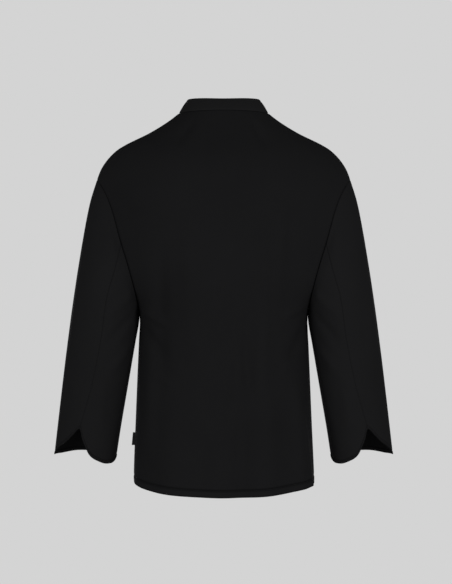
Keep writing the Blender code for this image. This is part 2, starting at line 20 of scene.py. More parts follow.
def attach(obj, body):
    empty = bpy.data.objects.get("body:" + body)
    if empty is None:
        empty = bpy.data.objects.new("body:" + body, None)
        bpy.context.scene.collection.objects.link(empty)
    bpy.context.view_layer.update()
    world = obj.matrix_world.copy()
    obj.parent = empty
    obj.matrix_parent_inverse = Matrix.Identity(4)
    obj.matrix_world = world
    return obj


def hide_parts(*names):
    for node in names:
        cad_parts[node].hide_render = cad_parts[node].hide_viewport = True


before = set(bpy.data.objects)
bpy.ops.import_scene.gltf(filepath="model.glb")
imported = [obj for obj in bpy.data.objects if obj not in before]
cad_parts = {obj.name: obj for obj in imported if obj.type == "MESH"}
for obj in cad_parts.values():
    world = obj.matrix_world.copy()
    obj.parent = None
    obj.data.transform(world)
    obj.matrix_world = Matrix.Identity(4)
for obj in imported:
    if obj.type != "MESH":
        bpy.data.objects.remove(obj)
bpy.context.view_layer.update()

LOG = logging.getLogger("chef_jacket")
Pair = tuple[float, float]
Triple = tuple[float, float, float]
Material = bpy.types.Material
Shape = bmesh.types.BMesh
MIRROR = np.array((-1.0, 1.0, 1.0))
UP = np.array((0.0, 0.0, 1.0))
HALVINGS = 40


class Facing(Enum):
    """Which half of the body a panel covers; the value is the way it looks along Y."""

    BACK = 1
    FRONT = -1


class Side(Enum):
    """The wearer's own left or right; the value is the sign of X there."""

    LEFT = 1
    RIGHT = -1


# --- numbers
class Column:
    """A monotone cubic curve through a short list of stations."""

    def __init__(self, places: list[float], values: list[float]) -> None:
        """Works out the slope at each station.

        Args:
            places: where the stations are, in rising order.
            values: what the curve passes through there.
        """
        self.x = np.array(places, float)
        self.y = np.array(values, float)
        self.step = np.diff(self.x)
        slope = np.diff(self.y) / self.step
        self.turn = np.zeros(len(self.x))
        self.turn[0], self.turn[-1] = slope[0], slope[-1]
        for i in range(1, len(self.x) - 1):
            if slope[i - 1] * slope[i] > 0:
                before = 2 * self.step[i] + self.step[i - 1]
                after = self.step[i] + 2 * self.step[i - 1]
                self.turn[i] = (before + after) / (before / slope[i - 1] + after / slope[i])

    def __call__(self, at: Any) -> np.ndarray:
        """The curve's values at these places.

        Args:
            at: where along the curve, one place or an array.

        Returns:
            Values in the same arrangement.
        """
        at = np.asarray(at, float)
        i = np.clip(np.searchsorted(self.x, at) - 1, 0, len(self.step) - 1)
        t = (at - self.x[i]) / self.step[i]
        rise = self.y[i] * (1 + 2 * t) * (1 - t) ** 2 + self.y[i + 1] * t * t * (3 - 2 * t)
        bend = self.turn[i] * (1 - t) ** 2 * t + self.turn[i + 1] * t * t * (t - 1)
        return rise + bend * self.step[i]


def columns_of(rows: tuple[tuple[float, ...], ...]) -> list[Column]:
    """One curve for each column after the first, which says where the rows stand."""
    table = np.array(rows, float)
    return [Column(table[:, 0], table[:, k]) for k in range(1, table.shape[1])]


def ease(value: Any) -> np.ndarray:
    """0 below 0, 1 above 1, with a soft curve between."""
    t = np.clip(value, 0.0, 1.0)
    return t * t * (3 - 2 * t)


def bell(distance: Any, half_width: float) -> np.ndarray:
    """1 at no distance, and next to nothing past two half widths."""
    return np.exp(-((distance / half_width) ** 2))


def bisect(low: float, high: float, is_short: Callable[[float], bool]) -> float:
    """Halves a range until it closes on the place where is_short stops being true.

    Args:
        low: a place where is_short is true.
        high: a place where it isn't.
        is_short: whether a place lies before the one sought.

    Returns:
        The place, to well under a micrometre for lengths.
    """
    for _ in range(HALVINGS):
        middle = (low + high) / 2
        if is_short(middle):
            low = middle
        else:
            high = middle
    return (low + high) / 2


def nearest(values: np.ndarray, wanted: float) -> int:
    """Which entry comes closest to the wanted one."""
    return int(np.argmin(np.abs(values - wanted)))


def unit(vectors: np.ndarray) -> np.ndarray:
    """The same vectors, each one long."""
    return vectors / np.linalg.norm(vectors, axis=-1, keepdims=True)


def crowded(count: int, share: float) -> np.ndarray:
    """Numbers from 0 to 1 that stand closer together near both ends.

    Args:
        count: how many steps there are.
        share: 0 for even steps, towards 1 for the most crowding.

    Returns:
        count + 1 rising numbers.
    """
    even = np.linspace(0.0, 1.0, count + 1)
    return even * (1 - share) + (0.5 - 0.5 * np.cos(math.pi * even)) * share


def grid_normals(grid: np.ndarray) -> np.ndarray:
    """Unit normals of a grid of points, on the side of rows turned towards columns."""
    return unit(np.cross(np.gradient(grid, axis=1), np.gradient(grid, axis=0)))


def arc_lengths(grid: np.ndarray, axis: int) -> np.ndarray:
    """Distance along each line of a grid, from its start.

    Args:
        grid: points, rows by columns.
        axis: 0 to go down the columns, 1 to go along the rows.

    Returns:
        Distances in metres, one for each point.
    """
    steps = np.linalg.norm(np.diff(grid, axis=axis), axis=2)
    start = np.zeros_like(np.take(steps, [0], axis=axis))
    return np.concatenate([start, np.cumsum(steps, axis=axis)], axis=axis)


def still_to_go(grid: np.ndarray, axis: int) -> np.ndarray:
    """Distance along each line of a grid, up to its end."""
    run = arc_lengths(grid, axis)
    return np.take(run, [-1], axis=axis) - run


# --- the form
@dataclass(frozen=True)
class Crease:
    """A soft ridge, or a trough where its height is below 0, along a slightly bowed line."""

    start: Pair
    end: Pair
    half_width: float
    height: float
    bow: float = 0.0
    open_end: bool = False
    fade: float = 0.38  # share of its length over which it rises, and fades where it ends

    def heights(self, a: np.ndarray, b: np.ndarray) -> np.ndarray:
        """How far it stands out at each place.

        Args:
            a: the first coordinate of each place, in metres.
            b: the second coordinate, in metres.

        Returns:
            Heights in metres, on the same grid.
        """
        way = np.array(self.end) - np.array(self.start)
        length = float(np.hypot(*way))
        along, side = way / length, np.array((-way[1], way[0])) / length
        da, db = a - self.start[0], b - self.start[1]
        t = (da * along[0] + db * along[1]) / length
        off = da * side[0] + db * side[1] - self.bow * 4 * t * (1 - t)
        fade = ease(t / self.fade) * (1.0 if self.open_end else ease((1 - t) / self.fade))
        half_width = self.half_width * (0.75 + 0.5 * np.clip(t, 0, 1))
        return self.height * fade * bell(off, half_width)


def creases_of(*rows: tuple[float, ...]) -> tuple[Crease, ...]:
    """Creases from a table.

    Args:
        rows: start a and b, end a and b, half width, height, bow, all in millimetres,
            then 1 where the crease runs on past the cloth's edge, or 0.

    Returns:
        One crease for each row.
    """
    made = []
    for *lengths, open_end in rows:
        start_a, start_b, end_a, end_b, half, height, bow = (mm / 1000 for mm in lengths)
        start, end = (start_a, start_b), (end_a, end_b)
        made.append(Crease(start, end, half, height, bow, bool(open_end)))
    return tuple(made)


@dataclass
class BodyForm:
    """The hollow shape of the jacket's body, as rows from hem to neck."""

    underarm: Triple = (0.1642, 0.0, -0.388)
    hem_z: float = -0.7195
    ellipse_pull: float = 0.5523
    neckline_dip: float = 0.30
    hole_centre: Triple = (0.2062, 0.0, -0.2590)
    hole_rise: Triple = (0.0420, 0.0, 0.1290)
    hole_reach: Triple = (0.0, 0.066, 0.0)
    hole_back: Triple = (-0.0134, -0.002, -0.012)
    hole_front: Triple = (-0.0240, -0.006, -0.010)
    hole_scoop: float = 0.0065
    corner_turn: float = 35.0
    hole_turn: float = 60.0
    hole_turn_power: float = 1.3
    corner_reach: float = 0.45
    corner_angle: float = 60.0
    hem_turn: float = 10.3
    hem_reach: float = 0.12
    seam_step: float = 0.01
    overlap_half: float = 0.085
    overlap_top_half: float = 0.044
    overlap_taper_stage: float = 2.3

    # share of the side seam's height, half width
    SIDE: ClassVar[tuple] = (
        (0.00, 0.1753),
        (0.045, 0.1761),
        (0.115, 0.1755),
        (0.357, 0.1724),
        (0.594, 0.1693),
        (0.83, 0.1660),
        (0.949, 0.1644),
        (1.00, 0.1642),
    )
    # share of the shoulder seam from tip to neck, x, z
    SHOULDER: ClassVar[tuple] = (
        (0.00, 0.2482, -0.1300),
        (0.08, 0.2412, -0.1115),
        (0.17, 0.2282, -0.0914),
        (0.28, 0.2086, -0.0721),
        (0.38, 0.1936, -0.0628),
        (0.64, 0.1440, -0.0382),
        (0.88, 0.1040, -0.0130),
        (1.00, 0.0875, 0.0000),
    )
    # stage, the back's y, z and fullness at the side, the front's the same, fullness in the middle
    MIDDLE: ClassVar[tuple] = (
        (0.00, 0.112, -0.7407, 0.560, -0.125, -0.7370, 0.560, 0.560),
        (0.35, 0.107, -0.6150, 0.570, -0.122, -0.6140, 0.570, 0.580),
        (0.70, 0.106, -0.4940, 0.580, -0.124, -0.4930, 0.580, 0.600),
        (1.00, 0.111, -0.3930, 0.570, -0.128, -0.3930, 0.570, 0.620),
        (1.30, 0.119, -0.3260, 0.530, -0.130, -0.3280, 0.530, 0.620),
        (1.60, 0.124, -0.2360, 0.490, -0.124, -0.2500, 0.490, 0.600),
        (2.00, 0.117, -0.1480, 0.460, -0.110, -0.1850, 0.460, 0.580),
        (2.30, 0.105, -0.0960, 0.490, -0.100, -0.1460, 0.500, 0.560),
        (2.60, 0.086, -0.0530, 0.540, -0.088, -0.1110, 0.550, 0.550),
        (3.00, 0.062, 0.0015, 0.560, -0.075, -0.0650, 0.560, 0.540),
    )

    def __post_init__(self) -> None:
        """Makes the curves of the tables."""
        (self.side_width,) = columns_of(self.SIDE)
        self.shoulder_x, self.shoulder_z = columns_of(self.SHOULDER)
        *halves, middle_pull = columns_of(self.MIDDLE)
        self.middle = {
            Facing.BACK: (*halves[:3], middle_pull),
            Facing.FRONT: (*halves[3:], middle_pull),
        }

    def armhole(self, angle: Any) -> np.ndarray:
        """Points of the left armhole: 0 is the shoulder tip, 90 the back, 180 the underarm.

        Args:
            angle: one angle or an array, in degrees.

        Returns:
            Points in metres, one for each angle.
        """
        a = np.radians(np.asarray(angle, float))[..., None]
        swing = np.where(np.sin(a) > 0, np.array(self.hole_back), np.array(self.hole_front))
        point = np.array(self.hole_centre) + np.array(self.hole_rise) * np.cos(a)
        point = point + np.array(self.hole_reach) * np.sin(a) + swing * np.sin(a) ** 2
        scoop = np.where(np.cos(a) > 0, np.sin(2 * a) ** 2, 0.0) * self.hole_scoop
        return point - scoop * np.array((1.0, 0.0, 0.0))

    def side_point(self, share: float) -> np.ndarray:
        """A point of the left side seam, 0 at the hem and 1 at the underarm."""
        z = self.hem_z + (self.underarm[2] - self.hem_z) * share
        return np.array((float(self.side_width(share)), 0.0, z))

    def shoulder_point(self, share: float) -> np.ndarray:
        """A point of the left shoulder seam, 0 at the tip and 1 at the neck."""
        return np.array((float(self.shoulder_x(share)), 0.0, float(self.shoulder_z(share))))

    def seam_way(self, point_at: Any, share: float, step: float) -> np.ndarray:
        """The way a seam runs at one place, in steps of this sign."""
        return unit(point_at(min(max(share + step, 0.0), 1.0)) - point_at(share))

    def edge(self, stage: float, facing: Facing) -> tuple[np.ndarray, np.ndarray]:
        """The panel's outer edge at one stage, and the way the cloth leaves it.

        Args:
            stage: 0 at the hem, 1 underarm, 2 shoulder tip, 3 neck.
            facing: front or back.

        Returns:
            The point, and a unit direction.
        """
        look, small = float(facing.value), self.seam_step
        straight = np.array((0.0, look, 0.0))
        if stage <= 1:
            near = float(ease((stage - 1 + self.corner_reach) / self.corner_reach))
            dip = self.hem_turn * float(1 - ease(stage / self.hem_reach))
            turn = math.radians(self.corner_turn * near + dip)
            along = self.seam_way(self.side_point, max(stage, small), -small)
            return self.side_point(stage), unit(straight * math.cos(turn) + along * math.sin(turn))
        if stage >= 2:
            share = stage - 2
            dip = self.neckline_dip * float(ease(share)) if facing is Facing.FRONT else 0.0
            turn = math.radians(self.corner_turn * float(ease(1 - share / self.corner_reach)))
            along = self.seam_way(self.shoulder_point, min(share, 1 - small), small)
            straight = unit(np.array((0.0, look, -dip)))
            away = straight * math.cos(turn) + along * math.sin(turn)
            return self.shoulder_point(share), unit(away)
        angle = 180 * (2 - stage)
        top = 1 - float(ease(angle / self.corner_angle))
        bottom = 1 - float(ease((180 - angle) / self.corner_angle))
        upwards = self.seam_way(self.shoulder_point, 0.0, small)
        downwards = self.seam_way(self.side_point, 1.0, -small)
        inwards = np.array((-1.0, 0.0, 0.0)) * (1 - top - bottom)
        inwards = unit(inwards + upwards * top + downwards * bottom)
        middle = math.sin(math.radians(angle)) ** self.hole_turn_power
        turn = math.radians(self.corner_turn + (self.hole_turn - self.corner_turn) * middle)
        away = straight * math.cos(turn) + inwards * math.sin(turn)
        return self.armhole(angle * look), unit(away)

    def row_handles(self, stage: float, facing: Facing) -> np.ndarray:
        """The four points that draw one half row, from the side to the middle.

        Args:
            stage: 0 at the hem, 1 underarm, 2 shoulder tip, 3 neck.
            facing: front or back.

        Returns:
            Four points in metres, for the left half.
        """
        y, z, side_pull, middle_pull = (float(c(stage)) for c in self.middle[facing])
        edge, away = self.edge(stage, facing)
        middle = np.array((0.0, y, z))
        reach = abs(y - edge[1]) + (1 - abs(away[1])) * edge[0] * self.ellipse_pull
        side_handle = edge + away * reach * side_pull
        middle_handle = middle + np.array((edge[0] * middle_pull, 0.0, 0.0))
        return np.array((edge, side_handle, middle_handle, middle))

    @staticmethod
    def along(handles: np.ndarray, across: np.ndarray) -> np.ndarray:
        """Points of a row; across runs from -1 at the right edge to 1 at the left.

        Args:
            handles: the row's four points.
            across: where on the row each point lies.

        Returns:
            Points in metres.
        """
        t = (1 - np.abs(across))[..., None]
        share = ((1 - t) ** 3, 3 * t * (1 - t) ** 2, 3 * t * t * (1 - t), t**3)
        point = sum(s * h for s, h in zip(share, handles))
        flip = np.where(across[..., None] < 0, MIRROR, 1.0)
        return point * flip

    def across_at(self, handles: np.ndarray, x: float) -> float:
        """The share across a row at which it passes this x."""
        return bisect(-1.0, 1.0, lambda t: bool(self.along(handles, np.array(t))[0] < x))

    def overlap_edge(self, stage: Any) -> np.ndarray:
        """How far past the middle a front reaches.

        Args:
            stage: one stage or an array.

        Returns:
            Distances from the middle, in metres.
        """
        start = self.overlap_taper_stage
        taper = ease((np.asarray(stage) - start) / (3 - start))
        return self.overlap_half + (self.overlap_top_half - self.overlap_half) * taper


@dataclass
class SleeveForm:
    """The hollow shape of the left sleeve, as rings from the armhole to the cuff."""

    body: BodyForm
    seam_top: float = 84.0
    front_seam: float = 235.0
    armhole_share: float = 0.30

    # share, outermost x and z, innermost x and z, half depth, how far back its middle is
    RINGS: ClassVar[tuple] = (
        (0.00, 0.2482, -0.1300, 0.1642, -0.3880, 0.0660, 0.000),
        (0.08, 0.2612, -0.1730, 0.1664, -0.4114, 0.0690, 0.002),
        (0.20, 0.2738, -0.2370, 0.1724, -0.4464, 0.0695, 0.004),
        (0.30, 0.2826, -0.2905, 0.1774, -0.4756, 0.0680, 0.004),
        (0.40, 0.2909, -0.3440, 0.1824, -0.5048, 0.0655, 0.003),
        (0.60, 0.3064, -0.4510, 0.1928, -0.5632, 0.0595, -0.003),
        (0.80, 0.3203, -0.5580, 0.2032, -0.6216, 0.0530, -0.013),
        (1.00, 0.3336, -0.6650, 0.2126, -0.6800, 0.0470, -0.024),
    )
    # share, angle of the back seam
    BACK_SEAM: ClassVar[tuple] = (
        (0.000, 84.0),
        (0.186, 89.5),
        (0.414, 93.0),
        (0.649, 88.8),
        (0.800, 81.0),
        (0.877, 76.7),
        (1.100, 76.7),
    )
    # angle, share at which the cloth ends
    CUFF: ClassVar[tuple] = (
        (-125.0, 0.975),
        (-90.0, 0.986),
        (-76.0, 0.990),
        (-31.0, 1.008),
        (0.0, 1.010),
        (30.0, 0.979),
        (50.0, 0.951),
        (65.0, 0.912),
        (76.7, 0.877),
        (84.0, 0.917),
        (92.0, 0.952),
        (97.0, 0.974),
        (104.0, 0.993),
        (114.0, 1.007),
        (137.0, 1.024),
        (152.0, 1.021),
        (165.0, 1.006),
        (180.0, 0.982),
        (235.0, 0.975),
    )

    def __post_init__(self) -> None:
        """Makes the curves of the tables."""
        self.ring = columns_of(self.RINGS)
        (self.seam_angle,) = columns_of(self.BACK_SEAM)
        (self.cuff_share,) = columns_of(self.CUFF)

    def bent(self, angle: np.ndarray, share: np.ndarray) -> np.ndarray:
        """Where columns that start at these angles have swung to, following the back seam.

        Args:
            angle: the columns' start angles at the armhole, in degrees.
            share: how far down the sleeve each point is, 0 to 1.

        Returns:
            Angles in degrees, one for each point.
        """
        seam = self.seam_angle(share)
        top = self.seam_top
        over = angle * seam / top
        under = 180 - (180 - angle) * (180 - seam) / (180 - top)
        swung = np.where(angle <= top, over, under)
        return np.where((angle > 0) & (angle < 180), swung, angle)

    def ring_point(self, share: np.ndarray, angle: np.ndarray) -> np.ndarray:
        """Points of the oval rings.

        Args:
            share: how far down the sleeve, 0 to 1.
            angle: angles round the oval, in degrees.

        Returns:
            Points in metres.
        """
        outer_x, outer_z, inner_x, inner_z, depth, middle_y = (c(share) for c in self.ring)
        a = np.radians(angle)
        centre_x, centre_z = (outer_x + inner_x) / 2, (outer_z + inner_z) / 2
        x = centre_x + (outer_x - inner_x) / 2 * np.cos(a)
        z = centre_z + (outer_z - inner_z) / 2 * np.cos(a)
        return np.stack([x, middle_y + depth * np.sin(a), z], axis=-1)

    def ends(self, start_angle: np.ndarray) -> np.ndarray:
        """The share at which each column ends."""
        return self.cuff_share(self.bent(start_angle, np.ones_like(start_angle)))

    def points(self, start_angle: np.ndarray, share: np.ndarray) -> np.ndarray:
        """Points of the outer face, for columns by start angle and shares down the sleeve.

        Args:
            start_angle: the columns' angles at the armhole, in degrees.
            share: how far down the sleeve each point is, 0 to 1.

        Returns:
            Points in metres.
        """
        angle = self.bent(start_angle, share)
        near = (1 - ease(share / self.armhole_share))[..., None]
        start = self.body.armhole(angle) - self.ring_point(np.zeros_like(angle), angle)
        return self.ring_point(share, angle) + near * start


# --- shader maths
class Value:
    """A shader socket that can be reckoned with as a number."""

    def __init__(self, nodes: "NodeTree", socket: Any) -> None:
        """Keeps the tree and the output socket."""
        self.nodes = nodes
        self.socket = socket

    def _math(self, operation: str, first: Any, second: Any = 0.0) -> "Value":
        """A Math node of this operation."""
        return self.nodes.add("ShaderNodeMath", {"operation": operation}, {0: first, 1: second})

    def __add__(self, other: Any) -> "Value":
        """This plus other."""
        return self._math("ADD", self, other)

    __radd__ = __add__

    def __mul__(self, other: Any) -> "Value":
        """This times other."""
        return self._math("MULTIPLY", self, other)

    __rmul__ = __mul__

    def __sub__(self, other: Any) -> "Value":
        """This less other."""
        return self._math("SUBTRACT", self, other)

    def __rsub__(self, other: Any) -> "Value":
        """Other less this."""
        return self._math("SUBTRACT", other, self)

    def power(self, exponent: float) -> "Value":
        """This raised to a power."""
        return self._math("POWER", self, exponent)

    def wave(self) -> "Value":
        """The sine of this."""
        return self._math("SINE", self)


class NodeTree:
    """One material's nodes."""

    def __init__(self, name: str) -> None:
        """Starts a material with its Principled shader.

        Args:
            name: the material's name.
        """
        self.material = bpy.data.materials.new(name)
        self.material.use_nodes = True
        self.tree = self.material.node_tree
        self.shader = self.tree.nodes["Principled BSDF"]

    def add(
        self, kind: str, settings: dict[str, Any], inputs: dict[Any, Any], output: Any = 0
    ) -> Value:
        """Adds a node.

        Args:
            kind: the node's type.
            settings: its own settings, set first.
            inputs: values or links, by socket name or number.
            output: which output to hand back.

        Returns:
            The output socket, wrapped.
        """
        node = self.tree.nodes.new(kind)
        for key, value in settings.items():
            setattr(node, key, value)
        for key, value in inputs.items():
            self.feed(node.inputs[key], value)
        return Value(self, node.outputs[output])

    def feed(self, socket: Any, value: Any) -> None:
        """Links a wrapped socket, or sets a plain value.

        Args:
            socket: the input to feed.
            value: a wrapped output, a number or a tuple.
        """
        if isinstance(value, Value):
            self.tree.links.new(value.socket, socket)
        else:
            socket.default_value = value

    def ramp(self, factor: Value, stops: list[tuple[float, Triple]]) -> Value:
        """A colour ramp through these stops.

        Args:
            factor: what picks the colour.
            stops: places from 0 to 1 with their colours, in rising order.

        Returns:
            The ramp's colour.
        """
        made = self.add("ShaderNodeValToRGB", {}, {0: factor})
        ramp = made.socket.node.color_ramp
        for element, (place, colour) in zip(ramp.elements, (stops[0], stops[-1])):
            element.position = place
            element.color = (*colour, 1.0)
        for place, colour in stops[1:-1]:
            ramp.elements.new(place).color = (*colour, 1.0)
        return made

    def noise(self, where: Value, scale: float, detail: float = 3.0) -> Value:
        """Soft noise between 0 and 1.

        Args:
            where: the coordinates.
            scale: how many blotches to the metre, about.
            detail: how many finer layers are added.

        Returns:
            The noise.
        """
        return self.add(
            "ShaderNodeTexNoise", {}, {"Vector": where, "Scale": scale, "Detail": detail}
        )

    def place(self) -> Value:
        """Where each point is, in metres."""
        return self.add("ShaderNodeTexCoord", {}, {}, "Object")

    def cut(self) -> tuple[Value, Value]:
        """Where each point is on the flat cut, across and along, in metres.

        Returns:
            The two distances.
        """
        flat = self.add("ShaderNodeUVMap", {"uv_map": "cut"}, {})
        across = self.add("ShaderNodeSeparateXYZ", {}, {0: flat})
        return across, Value(self, across.socket.node.outputs[1])

    def bump(self, strength: float, depth: float, height: Value) -> Value:
        """A relief of this depth in metres."""
        inputs = {"Strength": strength, "Distance": depth, "Height": height}
        return self.add("ShaderNodeBump", {}, inputs)

    def dress(self, **inputs: Any) -> Material:
        """Feeds the Principled shader, by its socket names with _ for a blank.

        Args:
            inputs: a value or wrapped output for each socket.

        Returns:
            The finished material.
        """
        for key, value in inputs.items():
            self.feed(self.shader.inputs[key.replace("_", " ")], value)
        return self.material


@dataclass(frozen=True)
class Finish:
    """What every finish has: a name, and a colour that varies over the surface."""

    name: str
    colour: Triple

    def tones(self, nodes: NodeTree, factor: Value, *stops: Pair) -> Value:
        """The colour by a factor; each stop is its place and how bright the colour is there."""
        shaded = [(place, tuple(c * share for c in self.colour)) for place, share in stops]
        return nodes.ramp(factor, shaded)


@dataclass(frozen=True)
class TwillFinish(Finish):
    """Matt twill, with a diagonal weave that follows the cut of the panel."""

    roughness: float = 0.88
    specular: float = 0.015
    rib_pitch: float = 0.0011
    rib_slope: float = 1.9
    threads_per_rib: float = 1.7
    relief: float = 0.55
    relief_depth: float = 0.00010
    # how strongly the seam_shade attribute's painted shade darkens the colour
    seam_painted_shade_strength: float = 0.5

    def material(self) -> Material:
        """The cloth's material; the seam_shade attribute darkens it with painted shade at its
        stitching and edges, and lightens it with a painted highlight where it is below 0.

        Returns:
            The material, ready to put on a panel.
        """
        nodes = NodeTree(self.name)
        across, along = nodes.cut()
        turn = 2 * math.pi / self.rib_pitch
        thread_turn = turn * self.threads_per_rib
        rib = ((across + along * self.rib_slope) * turn).wave()
        thread = (across * thread_turn).wave() * (along * thread_turn).wave()
        place = nodes.place()
        mottle = nodes.noise(place, 9.0, 4.0)
        fluff = nodes.noise(place, 900.0, 2.0)
        drape = nodes.noise(place, 3.2, 2.0)
        shade = mottle * 0.55 + drape * 0.30 + fluff * 0.15
        # painted shade at stitching and edges, and a painted highlight on the hem's band, carried
        # by a point attribute
        seam = nodes.add("ShaderNodeAttribute", {"attribute_name": "seam_shade"}, {}, "Fac")
        colour = nodes.add(
            "ShaderNodeVectorMath",
            {"operation": "SCALE"},
            {
                0: self.tones(nodes, shade, (0.30, 0.92), (0.5, 1.0), (0.72, 1.09)),
                "Scale": 1 - seam * self.seam_painted_shade_strength,
            },
        )
        height = rib * 0.5 + thread * 0.22 + fluff * 0.9 + mottle * 0.6
        return nodes.dress(
            Base_Color=colour,
            Roughness=mottle * 0.10 + self.roughness,
            Normal=nodes.bump(self.relief, self.relief_depth, height),
            Specular_IOR_Level=self.specular,
        )


@dataclass(frozen=True)
class SpeckledFinish(Finish):
    """A surface with clouds in its tone and a fine relief, such as thread or plastic.

    cloud and grain are a noise's scale and detail; tone is how bright the darkest and lightest
    spots are; unevenness is what cloud and relief add to the roughness; relief is a strength
    and a depth in metres. The relief is ribs where rib_pitch is given, and grain elsewhere.
    """

    cloud: Pair
    tone: Pair
    roughness: float
    unevenness: Pair
    relief: Pair
    specular: float
    grain: Pair = (0.0, 0.0)
    rib_pitch: float = 0.0

    def height(self, nodes: NodeTree) -> Value:
        """The relief: ribs along the cut, or a fine grain.

        Args:
            nodes: the material's tree.

        Returns:
            The relief's height, for a Bump node.
        """
        if self.rib_pitch:
            return (nodes.cut()[1] * (2 * math.pi / self.rib_pitch)).wave()
        return nodes.noise(nodes.place(), *self.grain)

    def material(self) -> Material:
        """The material.

        Returns:
            The material, ready to put on a piece.
        """
        nodes = NodeTree(self.name)
        cloud, height = nodes.noise(nodes.place(), *self.cloud), self.height(nodes)
        (dark, light), (by_cloud, by_height) = self.tone, self.unevenness
        rough = cloud * by_cloud + self.roughness
        if by_height:
            rough = rough + height * by_height
        return nodes.dress(
            Base_Color=self.tones(nodes, cloud, (0.35, dark), (0.65, light)),
            Roughness=rough,
            Normal=nodes.bump(*self.relief, height),
            Specular_IOR_Level=self.specular,
        )


SEWING_THREAD = SpeckledFinish(
    name="sewing_thread",
    colour=(0.016, 0.016, 0.017),
    cloud=(2500.0, 2.0),
    grain=(2500.0, 2.0),
    tone=(0.7, 1.4),
    roughness=0.55,
    unevenness=(0.2, 0.0),
    relief=(0.5, 0.00008),
    specular=0.3,
)
BUTTON_PLASTIC = SpeckledFinish(
    name="button_satin",
    colour=(0.013, 0.013, 0.014),
    cloud=(120.0, 3.0),
    grain=(1400.0, 2.0),
    tone=(0.8, 1.3),
    roughness=0.40,
    unevenness=(0.12, 0.06),
    relief=(0.25, 0.00004),
    specular=0.16,
)
TAB_RIBBON = SpeckledFinish(
    name="tab_weave",
    colour=(0.0065, 0.0065, 0.0070),
    cloud=(260.0, 3.0),
    tone=(0.75, 1.3),
    roughness=0.68,
    unevenness=(0.1, 0.0),
    relief=(0.5, 0.00010),
    specular=0.3,
    rib_pitch=0.0007,
)


@dataclass(frozen=True)
class PaintFinish(Finish):
    """Matt studio paint for the floor."""

    name: str = "studio_floor"
    colour: Triple = (0.66, 0.66, 0.66)

    def material(self) -> Material:
        """The floor's material.

        Returns:
            The material, ready to put on the floor.
        """
        nodes = NodeTree(self.name)
        colour = self.tones(nodes, nodes.noise(nodes.place(), 1.5, 2.0), (0.3, 0.985), (0.7, 1.015))
        return nodes.dress(Base_Color=colour, Roughness=0.9, Specular_IOR_Level=0.1)


# --- cloth meshes
@dataclass
class Wardrobe:
    """The materials, made once and shared."""

    body: Material
    sleeve: Material
    collar: Material
    thread: Material
    button: Material
    hollow: Material
    ribbon: Material


def make_wardrobe() -> Wardrobe:
    """Makes every finish of the jacket.

    Returns:
        The materials by what they are for.
    """
    return Wardrobe(
        body=TwillFinish("black_twill_body", (0.0117, 0.0117, 0.0123)).material(),
        sleeve=TwillFinish("black_twill_sleeve", (0.0128, 0.0128, 0.0134)).material(),
        collar=TwillFinish("black_twill_collar", (0.0154, 0.0154, 0.0159)).material(),
        thread=SEWING_THREAD.material(),
        button=BUTTON_PLASTIC.material(),
        # near-black cones, a painted shadow in the button's holes
        hollow=replace(BUTTON_PLASTIC, name="button_hole_shadow", colour=(0.003,) * 3).material(),
        ribbon=TAB_RIBBON.material(),
    )


def link(name: str, shape: Shape, material: Material) -> bpy.types.Object:
    """Makes an object of a finished bmesh, smooth shaded, and puts it in the scene.

    Args:
        name: the piece's name.
        shape: its mesh, which is freed.
        material: its finish.

    Returns:
        The object.
    """
    mesh = bpy.data.meshes.new(name)
    shape.to_mesh(mesh)
    shape.free()
    mesh.materials.append(material)
    mesh.shade_smooth()
    obj = bpy.data.objects.new(name, mesh)
    bpy.context.scene.collection.objects.link(obj)
    return obj


def seat(obj: bpy.types.Object, slot: str, *nodes: str) -> bpy.types.Object:
    """Puts a piece on the jacket, in place of the nodes that it stands for.

    Args:
        obj: the piece.
        slot: its colour slot; not used.
        nodes: the CAD nodes that it takes the place of, if any.

    Returns:
        The same object.
    """
    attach(obj, "root")
    if nodes:
        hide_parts(*nodes)
    return obj


def hollow_heart(grid: np.ndarray) -> np.ndarray:
    """A point well inside the hollow that a panel bends round."""
    return ((grid[:, 0] + grid[:, -1]) / 2).mean(axis=0)


def outward_normals(grid: np.ndarray) -> np.ndarray:
    """Normals of a grid that look away from the hollow it bends round.

    Args:
        grid: points, rows by columns.

    Returns:
        Unit normals, one for each point.
    """
    normals = grid_normals(grid)
    votes = ((grid - hollow_heart(grid)) * normals).sum()
    return normals if votes > 0 else -normals


